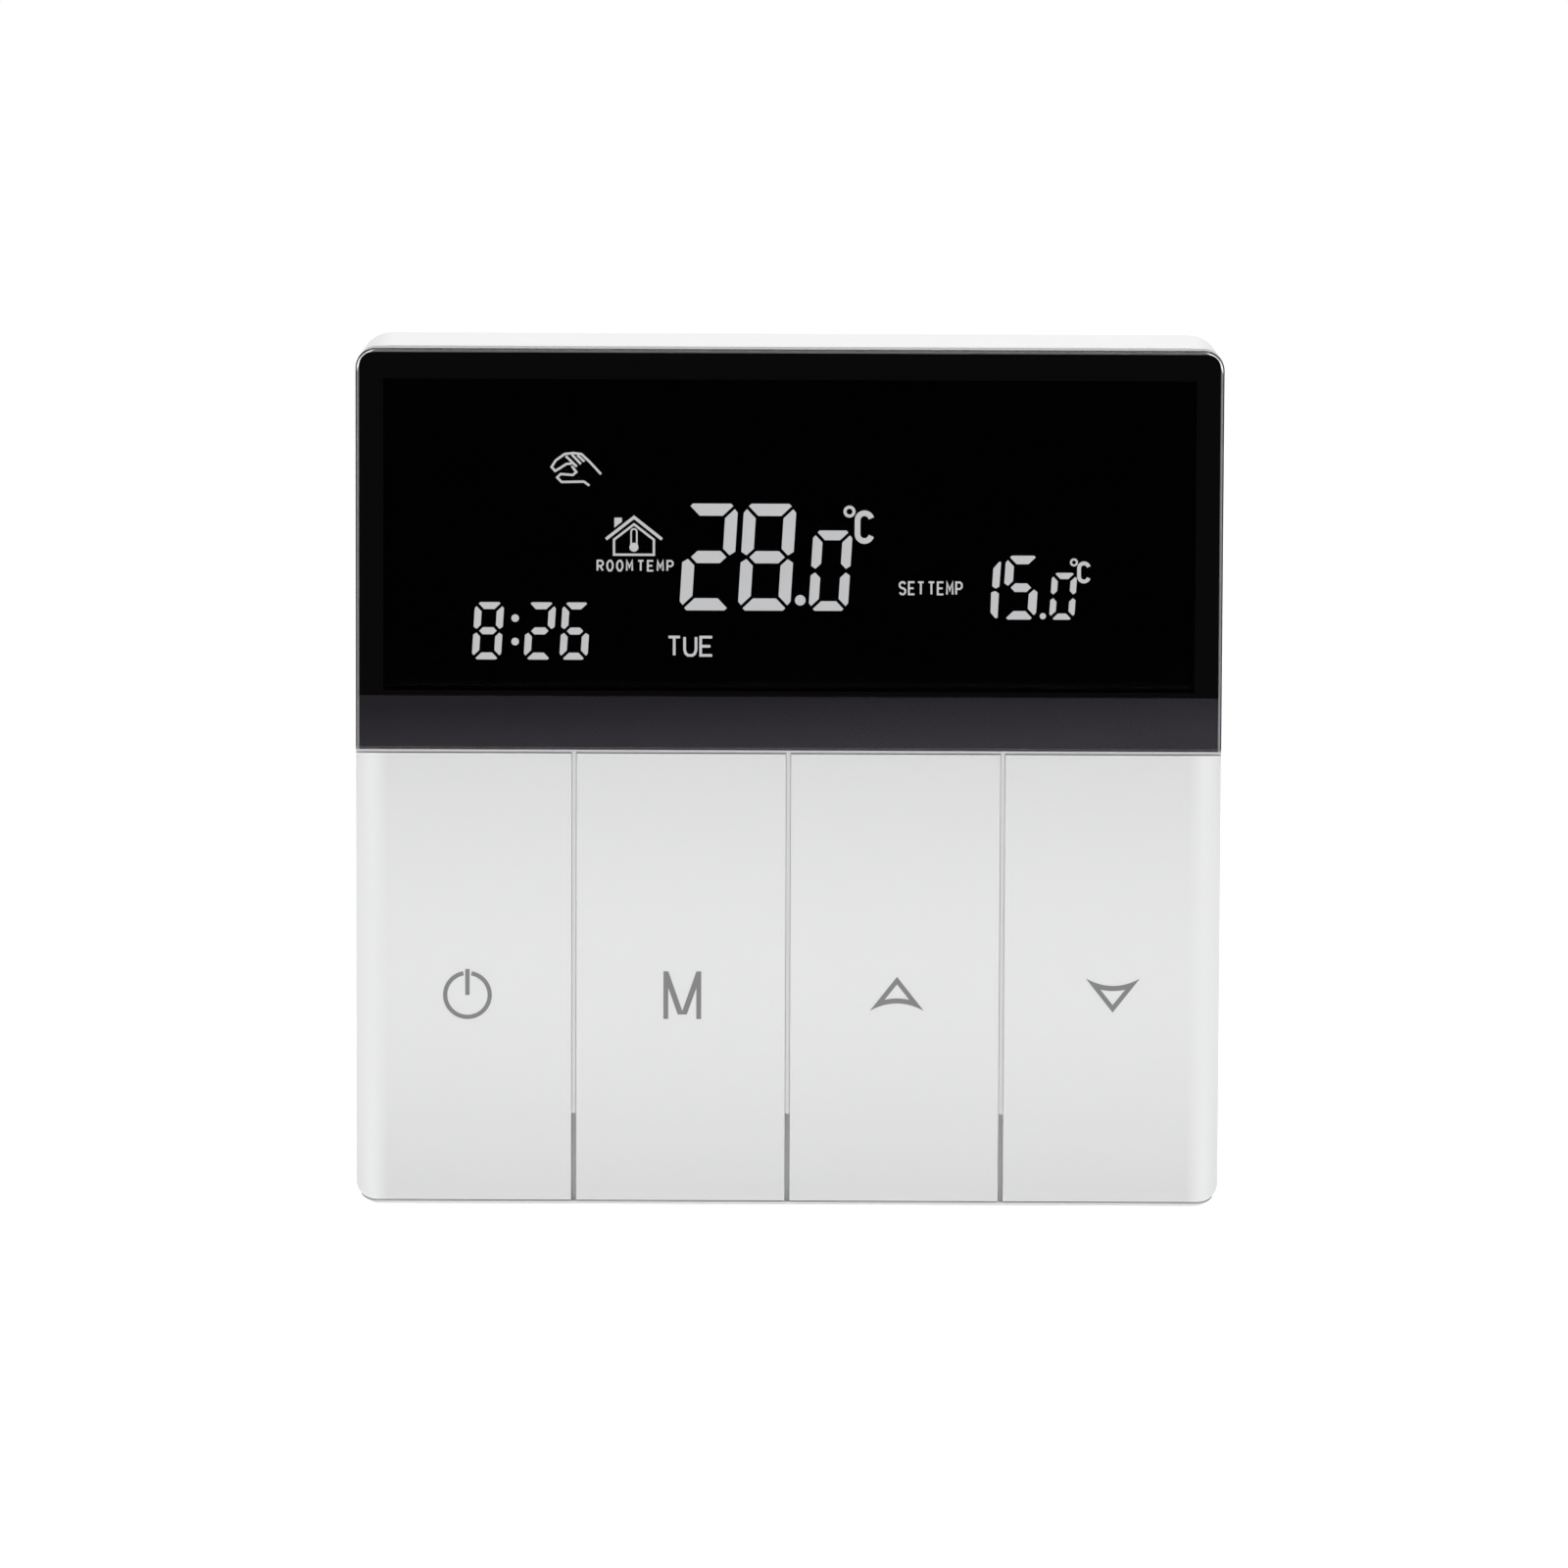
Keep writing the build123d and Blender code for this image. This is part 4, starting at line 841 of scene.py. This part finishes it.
def chip_patch(centre, columns, rows, pitch, length, seed, end_cap):
    """A tree for a patch of small ceramic parts with plated ends, thinned at random."""

    def build(tree, material):
        grow = Growth(tree)
        columns_in = grow.named("Columns", "NodeSocketInt", columns)
        rows_in = grow.named("Rows", "NodeSocketInt", rows)
        seed_in = grow.named("Seed", "NodeSocketInt", seed)
        grid = grow.node(
            "GeometryNodeMeshGrid",
            inputs={
                "Size X": pitch * (columns - 1), "Size Y": pitch * (rows - 1),
                "Vertices X": columns_in, "Vertices Y": rows_in,
            },
        )
        upright = grow.node(
            "GeometryNodeTransform",
            inputs={"Geometry": grid, "Translation": centre, "Rotation": (math.pi / 2, 0.0, 0.0)},
        )
        body_size = tuple(length * share for share in (0.66, 0.27, 0.46))
        cap_size = tuple(length * share for share in (0.17, 0.3, 0.5))
        body = grow.node("GeometryNodeMeshCube", inputs={"Size": body_size})
        cap = grow.node("GeometryNodeMeshCube", inputs={"Size": cap_size})
        aside = (body_size[0] + cap_size[0]) / 2
        caps = [
            grow.node("GeometryNodeTransform", inputs={"Geometry": cap, "Translation": (x, 0.0, 0.0)})
            for x in (-aside, aside)
        ]
        keep = grow.random("BOOLEAN", {"Probability": 0.72, "Seed": seed_in})
        turned = grow.node(
            "ShaderNodeMath", {"operation": "MULTIPLY"},
            {0: grow.random("INT", {"Min": 0, "Max": 1, "Seed": seed_in}), 1: math.pi / 2},
        )
        spin = grow.node("ShaderNodeCombineXYZ", inputs={"Y": turned})
        spread = [
            grow.node(
                "GeometryNodeInstanceOnPoints",
                inputs={"Points": upright, "Instance": part, "Selection": keep, "Rotation": spin},
            )
            for part in (body, grow.join(*caps))
        ]
        grow.finish(*zip(spread, (material, end_cap)))
        return {"Columns": columns, "Rows": rows, "Seed": seed}

    return build


def board_paint(name, mask, track_step):
    """Solder mask over copper tracks, with bare glass fibre at the cut edges."""
    paint = Paint(name)
    x, _, z = paint.axes()
    _, facing_y, _ = paint.facing()
    edge = abs(facing_y) < 0.5
    wander = paint.noise(0.08, detail=0.0)
    lanes_x = abs((x / track_step + wander * 3).fraction() - 0.5)
    lanes_z = abs((z / track_step + wander * 3).fraction() - 0.5)
    area = paint.noise(0.11, detail=1.0) > 0.5
    lanes = lanes_x * area + lanes_z * (1 - area)
    track = paint.ramp(lanes, 0.2, 0.26)
    weave = paint.noise(5.0, detail=2.0, stretch=(1, 1, 8))
    lighter = tuple(c * 1.9 + 0.01 for c in mask)
    green = paint.blend(track, lighter, tuple(mask))
    fibre = paint.blend(weave, (0.42, 0.38, 0.2), (0.6, 0.56, 0.34))
    paint.set(
        base_color=paint.blend(edge, green, fibre),
        roughness=paint.ramp(edge, 0.0, 1.0, 0.28, 0.75),
        normal=paint.bump(track, 0.02, 0.5),
    )
    return paint


def leaded(name, resin, inside, roughness=0.4, lead=(0.7, 0.7, 0.68)):
    """Resin inside a region given as a function of X, Y and Z in millimetres, and tinned leads outside it."""
    paint = Paint(name)
    body = inside(*paint.axes())
    speckle = paint.noise(9.0)
    dark = tuple(c * 0.8 for c in resin)
    paint.set(
        base_color=paint.blend(body, lead, paint.blend(speckle, dark, tuple(resin))),
        metallic=1 - body,
        roughness=paint.ramp(body, 0.0, 1.0, 0.3, roughness),
        normal=paint.bump(speckle, 0.004, 0.4),
    )
    return paint


class BOARD_OT_control(bpy.types.Operator):
    """Finishes the control board and adds its solder and small parts"""

    bl_idname = "thermostat.control_board"
    bl_label = "Control Board"

    def execute(self, context):
        settings = context.scene.thermostat_boards
        finish("control_board", board_paint("control_mask", settings.mask, 0.9))
        finish("board_screws", plated("zinc_screw", (0.66, 0.67, 0.7), roughness=0.3))
        finish("header_socket", moulded("socket_black", (0.018, 0.018, 0.018), roughness=0.45))
        finish("buzzer", moulded("buzzer_black", (0.015, 0.015, 0.015), roughness=0.5))
        finish("board_components", moulded("small_resin", (0.022, 0.022, 0.024), roughness=0.5, grain=12.0))
        finish("backup_cell", plated("cell_steel", (0.74, 0.73, 0.7), roughness=0.22, stretch=(3, 1, 1)))
        finish("cell_clip", plated("clip_tin", (0.7, 0.68, 0.6), roughness=0.35))
        finish("switch_bodies", moulded("switch_black", (0.02, 0.02, 0.02), roughness=0.5))
        finish("switch_covers", plated("switch_steel", (0.7, 0.7, 0.7), roughness=0.32, stretch=(8, 1, 1)))
        finish("switch_domes", plated("dome_steel", (0.78, 0.77, 0.74), roughness=0.15, stretch=(1, 1, 1)))
        plunger = moulded("plunger_black", (0.03, 0.03, 0.032), roughness=0.4)
        for key in KEYS:
            finish(key.replace("_key", "_plunger"), plunger)
        finish("microcontroller", self.chip())
        finish("thermistor", self.bead())
        self.solder_and_parts(settings)
        return {"FINISHED"}

    @staticmethod
    def chip():
        low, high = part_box("microcontroller")
        middle = (low + high) / 2 / MM
        lead_reach = 0.9
        half = (high.x - low.x) / 2 / MM - lead_reach

        def inside(x, _, z):
            return abs(x - middle.x).largest(abs(z - middle.z)) < half

        return leaded("chip_resin", (0.028, 0.028, 0.03), inside, roughness=0.55)

    @staticmethod
    def bead():
        bead_length = 2.3
        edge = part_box("thermistor")[0].y / MM + bead_length
        return leaded("bead_resin", (0.012, 0.012, 0.014), lambda _, y, __: y < edge, roughness=0.2)

    @staticmethod
    def solder_and_parts(settings):
        """Solder on the board's rear and patches of small parts between the larger ones."""
        solder = plated("solder", (0.75, 0.75, 0.74), roughness=0.25, stretch=(1, 1, 1)).material
        ceramic = moulded("part_ceramic", (0.05, 0.045, 0.04), roughness=0.35, grain=12.0).material
        low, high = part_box("lcd_pins")
        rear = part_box("control_board")[1].y
        pins, pin_width = 24, 0.5 * MM
        step = (high.x - low.x - pin_width) / (pins - 1)
        start = (low.x + pin_width / 2, rear, (low.z + high.z) / 2)
        row = cone_row(pins, (step, 0.0, 0.0), start, 0.75 * MM, 0.55 * MM)
        piece = repeated("display_pin_solder", row, solder)
        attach(piece, UNIT)
        length = settings.chip_length
        patches = {
            "upper_left_parts": (-0.024, 0.022, 11),
            "upper_right_parts": (0.026, 0.022, 12),
            "lower_right_parts": (0.029, -0.006, 13),
        }
        for name, (x, z, seed) in patches.items():
            centre = (x, rear + length * 0.13, z)
            rows = (settings.chip_columns, settings.chip_rows)
            piece = repeated(name, chip_patch(centre, *rows, length * 2, length, seed, solder), ceramic)
            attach(piece, UNIT)


# ---------------------------------------------------------------- wall plate and power box
class WALL_OT_plate(bpy.types.Operator):
    """Finishes the steel plate that is screwed to the wall and the power box behind it"""

    bl_idname = "thermostat.wall_side"
    bl_label = "Plate and Power Box"

    def execute(self, context):
        finish("mounting_plate", self.spangled())
        ivory = moulded("box_ivory", (0.74, 0.74, 0.71), roughness=0.5, grain=3.5, depth=0.012)
        finish("power_box", ivory)
        finish("power_box_lid", ivory)
        finish("box_screws", plated("box_screw_zinc", (0.66, 0.67, 0.7), roughness=0.3))
        finish("pin_header", moulded("header_black", (0.018, 0.018, 0.018), roughness=0.45))
        finish("header_pins", plated("gold_pin", (0.83, 0.62, 0.27), roughness=0.22))
        self.terminals()
        return {"FINISHED"}

    @staticmethod
    def spangled():
        """Galvanised sheet with its crystal flakes."""
        paint = Paint("zinc_sheet")
        flakes = paint.cells(0.5, out="Color")
        tone = paint.node("ShaderNodeSeparateColor", inputs=(flakes,))
        scratches = paint.noise(2.0, detail=3.0, stretch=(8, 1, 1))
        paint.set(
            base_color=paint.blend(tone, (0.44, 0.45, 0.46), (0.53, 0.54, 0.55)),
            metallic=1.0,
            roughness=paint.ramp(tone, 0.0, 1.0, 0.36, 0.46),
            normal=paint.bump(scratches, 0.004, 0.4),
        )
        return paint

    @staticmethod
    def terminals():
        """The terminal block with raised numbers beside its screws."""
        green = moulded("terminal_green", (0.02, 0.22, 0.07), roughness=0.4, grain=5.0, depth=0.006)
        finish("terminal_block", green)
        finish("terminal_clamps", plated("clamp_brass", (0.72, 0.62, 0.4), roughness=0.35))
        finish("terminal_screws", plated("clamp_screw", (0.68, 0.68, 0.7), roughness=0.3))
        low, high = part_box("terminal_screws")
        block_rear, block_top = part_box("terminal_block")[1].yz
        count = 6
        head = high.z - low.z
        step = (high.x - low.x - head) / (count - 1)
        first = low.x + head / 2
        print_height, figure_height, figure_drop = 0.08 * MM, 2.2 * MM, 1.5 * MM
        ink = moulded("number_white", (0.8, 0.8, 0.78), roughness=0.5, grain=12.0)
        for i in range(count):
            shape = bpy.data.curves.new("terminal_number", "FONT")
            shape.body = str(i + 1)
            shape.size = figure_height
            shape.align_x = "CENTER"
            shape.align_y = "CENTER"
            shape.extrude = print_height / 2
            text = bpy.data.objects.new("terminal_number", shape)
            bpy.context.scene.collection.objects.link(text)
            graph = bpy.context.evaluated_depsgraph_get()
            mesh = bpy.data.meshes.new_from_object(text.evaluated_get(graph))
            bpy.data.objects.remove(text)
            turn = Matrix.Rotation(math.pi, 4, "Z") @ Matrix.Rotation(math.pi / 2, 4, "X")
            place = Vector((first + step * i, block_rear - print_height * 0.3, block_top - figure_drop))
            mesh.transform(Matrix.Translation(place) @ turn)
            piece = bpy.data.objects.new(f"terminal_number_{i + 1}", mesh)
            bpy.context.scene.collection.objects.link(piece)
            mesh.materials.append(ink.material)
            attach(piece, "base")


class POWER_OT_board(bpy.types.Operator):
    """Finishes the power board and the parts that stand on it"""

    bl_idname = "thermostat.power_board"
    bl_label = "Power Board"

    def execute(self, context):
        settings = context.scene.thermostat_boards
        finish("power_board", board_paint("power_mask", settings.mask, 1.6))
        finish("relay", moulded("relay_blue", (0.02, 0.1, 0.32), roughness=0.35, grain=4.0))
        finish("film_capacitor", moulded("film_yellow", (0.62, 0.42, 0.04), roughness=0.3, grain=3.0))
        finish("transformer_core", self.laminations())
        finish("transformer_coil", self.windings())
        finish("capacitor_cans", self.cans())
        finish("varistor", self.disc_resin())
        finish("fuse", self.fuse())
        return {"FINISHED"}

    @staticmethod
    def laminations():
        """Dark varnished sheets stacked along Z."""
        paint = Paint("core_sheets")
        _, _, z = paint.axes()
        seams = paint.ramp(abs((z * 2.2).fraction() - 0.5), 0.36, 0.46)
        rust = paint.noise(1.2, detail=3.0)
        paint.set(
            base_color=paint.blend(rust, (0.035, 0.033, 0.032), (0.11, 0.085, 0.07)),
            metallic=0.7,
            roughness=paint.ramp(rust, 0.3, 0.7, 0.35, 0.6),
            normal=paint.bump(1 - seams, 0.06, 0.8),
        )
        return paint

    @staticmethod
    def windings():
        """Yellow tape wound round the coil, on tinned feet."""
        paint = Paint("coil_tape")
        foot = 4.7
        _, y, _ = paint.axes()
        tape = y > (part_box("transformer_coil")[0].y / MM + foot)
        laps = paint.ramp((y * 0.8).fraction(), 0.0, 0.08)
        yellow = paint.blend(laps, (0.45, 0.3, 0.02), (0.78, 0.56, 0.05))
        paint.set(
            base_color=paint.blend(tape, (0.7, 0.7, 0.68), yellow),
            metallic=1 - tape,
            roughness=paint.ramp(laps, 0.0, 1.0, 0.5, 0.25),
            normal=paint.bump(laps, 0.05, 0.6),
        )
        return paint

    @staticmethod
    def cans():
        """Black sleeves with a pale stripe down one side and bare aluminium tops."""
        paint = Paint("can_sleeve")
        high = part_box("capacitor_cans")[1] / MM
        rim, stripe_width = 0.6, 1.6
        _, y, z = paint.axes()
        _, facing_y, _ = paint.facing()
        top = (facing_y > 0.8) * (y > high.y - rim)
        stripe = (z > high.z - stripe_width) * (1 - top)
        sleeve = paint.blend(stripe, (0.015, 0.015, 0.018), (0.5, 0.5, 0.48))
        paint.set(
            base_color=paint.blend(top, sleeve, (0.78, 0.78, 0.78)),
            metallic=top,
            roughness=paint.ramp(paint.noise(2.0), 0.3, 0.7, 0.25, 0.4),
        )
        return paint

    @staticmethod
    def disc_resin():
        low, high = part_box("varistor")
        radius = (high.z - low.z) / 2 / MM
        middle = (low + high) / 2 / MM
        heart = high.y / MM - radius

        def inside(_, y, z):
            away = (y - heart) ** 2 + (z - middle.z) ** 2
            return away < (radius + 0.05) ** 2

        return leaded("disc_resin", (0.02, 0.07, 0.36), inside, roughness=0.25)

    @staticmethod
    def fuse():
        low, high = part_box("fuse")
        cap = 3.0
        middle = (low.x + high.x) / 2 / MM
        half = (high.x - low.x) / 2 / MM - cap
        return leaded("fuse_tube", (0.8, 0.77, 0.68), lambda x, *_: abs(x - middle) < half, roughness=0.3)


# ---------------------------------------------------------------- stage
class STAGE_OT_studio(bpy.types.Operator):
    """Makes the floor, the light and the camera"""

    bl_idname = "thermostat.studio"
    bl_label = "Studio"

    def execute(self, context):
        settings = context.scene.thermostat_stage
        self.floor(settings)
        self.world(context.scene)
        self.lamps()
        self.camera(context.scene, settings)
        context.scene.view_settings.view_transform = "Standard"
        return {"FINISHED"}

    @staticmethod
    def floor(settings):
        """A pale sheet under the thermostat that can only be seen from above."""
        side, back = 1.2, 1.5
        shape = bmesh.new()
        corners = ((-side, -settings.floor_front), (side, -settings.floor_front), (side, back), (-side, back))
        shape.faces.new([shape.verts.new((x, y, -settings.floor_drop)) for x, y in corners])
        piece = mesh_piece("floor", shape)
        paint = Paint("pale_floor")
        across, away, _ = paint.axes()
        edge = -settings.floor_front / MM
        fade, skew, glow_reach = 54.0, 0.25, 100.0
        near = paint.ramp(away + skew * across, edge, edge + fade)
        glow = paint.ramp(away, -glow_reach, glow_reach)
        paint.set(
            base_color=paint.blend(near, (0.24, 0.24, 0.24), (0.95, 0.95, 0.95)),
            emission_color=paint.blend(glow, (0.2, 0.2, 0.2), (0.5, 0.5, 0.5)),
            emission_strength=1.0,
            roughness=0.9,
        )
        # a black card lies in front for reflections only, so that the display stays dark from the sides
        card_front, card_back = (-640.0, -560.0), (-60.0, 0.0)
        card = paint.ramp(away, *card_front) * paint.ramp(away, *card_back, 1.0, 0.0)
        card = card * paint.node("ShaderNodeLightPath", out="Is Glossy Ray")
        black = paint.node("ShaderNodeBsdfDiffuse", inputs=((0.01, 0.01, 0.01, 1.0),))
        shown = Value(paint, paint.shader.outputs[0])
        shown = paint.node("ShaderNodeMixShader", inputs=(card, shown, black))
        behind = paint.node("ShaderNodeNewGeometry", out="Backfacing")
        clear = paint.node("ShaderNodeBsdfTransparent")
        mixed = paint.node("ShaderNodeMixShader", inputs=(behind, shown, clear))
        paint.tree.links.new(mixed.socket, paint.output.inputs["Surface"])
        piece.data.materials.append(paint.material)

    @staticmethod
    def world(scene):
        """White behind, pale all round, and dark straight in front of the display."""
        scene.world = bpy.data.worlds.new("studio")
        scene.world.use_nodes = True
        tree = scene.world.node_tree
        tree.nodes.clear()

        def node(kind, *inputs):
            made = tree.nodes.new(kind)
            for socket, value in zip(made.inputs, inputs):
                if isinstance(value, bpy.types.NodeSocket):
                    tree.links.new(value, socket)
                else:
                    socket.default_value = value
            return made.outputs

        white = (1, 1, 1, 1)
        rays = node("ShaderNodeLightPath")
        direction = node("ShaderNodeSeparateXYZ", node("ShaderNodeTexCoord")["Generated"])
        ahead = node("ShaderNodeMapRange", direction["Y"], 0.1, -0.88, 1.05, 0.004)
        around = node("ShaderNodeBackground", white, ahead[0])
        pale = node("ShaderNodeBackground", white, 0.45)
        shown = node("ShaderNodeBackground", white, 1.0)
        soft = node("ShaderNodeMixShader", rays["Is Diffuse Ray"], around[0], pale[0])
        seen = node("ShaderNodeMixShader", rays["Is Camera Ray"], soft[0], shown[0])
        node("ShaderNodeOutputWorld", seen[0])

    @staticmethod
    def lamps():
        """One wide light overhead and one soft light from each side."""
        places = {
            "top_light": ((0.0, -0.35, 0.95), (0.9, 0.6), 3.2),
            "left_light": ((-0.8, -0.6, 0.55), (0.5, 0.7), 1.5),
            "right_light": ((0.8, -0.6, 0.55), (0.5, 0.7), 1.5),
            "rear_light": ((0.2, 1.0, 0.7), (0.8, 0.6), 2.0),
        }
        for name, (place, size, power) in places.items():
            lamp = bpy.data.lights.new(name, "AREA")
            lamp.shape = "RECTANGLE"
            lamp.size, lamp.size_y = size
            lamp.energy = power
            holder = bpy.data.objects.new(name, lamp)
            holder.location = place
            holder.rotation_mode = "QUATERNION"
            holder.rotation_quaternion = (-Vector(place)).to_track_quat("-Z", "Y")
            bpy.context.scene.collection.objects.link(holder)

    @staticmethod
    def camera(scene, settings):
        aim_across, aim_up = -0.44 * MM, -0.47 * MM
        aim = Vector((aim_across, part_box("display_lens")[0].y, aim_up))
        rise = settings.camera_rise
        away = Vector((0, -math.cos(rise), math.sin(rise)))
        view = bpy.data.cameras.new("camera")
        view.lens = settings.camera_lens
        view.sensor_width = 36.0
        view.clip_start = 0.01
        view.clip_end = 20.0
        holder = bpy.data.objects.new("camera", view)
        holder.location = aim + away * settings.camera_distance
        holder.rotation_mode = "QUATERNION"
        roll = Matrix.Rotation(settings.camera_roll, 3, "Z").to_quaternion()
        holder.rotation_quaternion = (-away).to_track_quat("-Z", "Y") @ roll
        scene.collection.objects.link(holder)
        scene.camera = holder


# ---------------------------------------------------------------- add-on
class THERMOSTAT_PT_panel(bpy.types.Panel):
    """Lists the pieces that can be made"""

    bl_idname = "THERMOSTAT_PT_panel"
    bl_label = "Thermostat"
    bl_space_type = "VIEW_3D"
    bl_region_type = "UI"
    bl_category = "Thermostat"

    def draw(self, context):
        for group, settings in SETTINGS.items():
            for name in settings.__annotations__:
                self.layout.prop(getattr(context.scene, group), name)
        for operator in OPERATORS:
            self.layout.operator(operator.bl_idname)


SETTINGS = {
    "thermostat_figures": FigureSettings,
    "thermostat_keys": KeySettings,
    "thermostat_shell": ShellSettings,
    "thermostat_boards": BoardSettings,
    "thermostat_stage": StageSettings,
}
OPERATORS = (
    SHELL_OT_front,
    FIGURES_OT_display,
    SYMBOLS_OT_keys,
    BOARD_OT_control,
    WALL_OT_plate,
    POWER_OT_board,
    STAGE_OT_studio,
)


def register():
    for made in (*SETTINGS.values(), *OPERATORS, THERMOSTAT_PT_panel):
        bpy.utils.register_class(made)
    for group, settings in SETTINGS.items():
        setattr(bpy.types.Scene, group, bpy.props.PointerProperty(type=settings))


def unregister():
    for group in SETTINGS:
        delattr(bpy.types.Scene, group)
    for made in reversed((*SETTINGS.values(), *OPERATORS, THERMOSTAT_PT_panel)):
        bpy.utils.unregister_class(made)


def main():
    register()
    bpy.ops.thermostat.shell()
    bpy.ops.thermostat.display_figures()
    bpy.ops.thermostat.key_symbols()
    bpy.ops.thermostat.control_board()
    bpy.ops.thermostat.wall_side()
    bpy.ops.thermostat.power_board()
    bpy.ops.thermostat.studio()


if __name__ == "__main__":
    main()
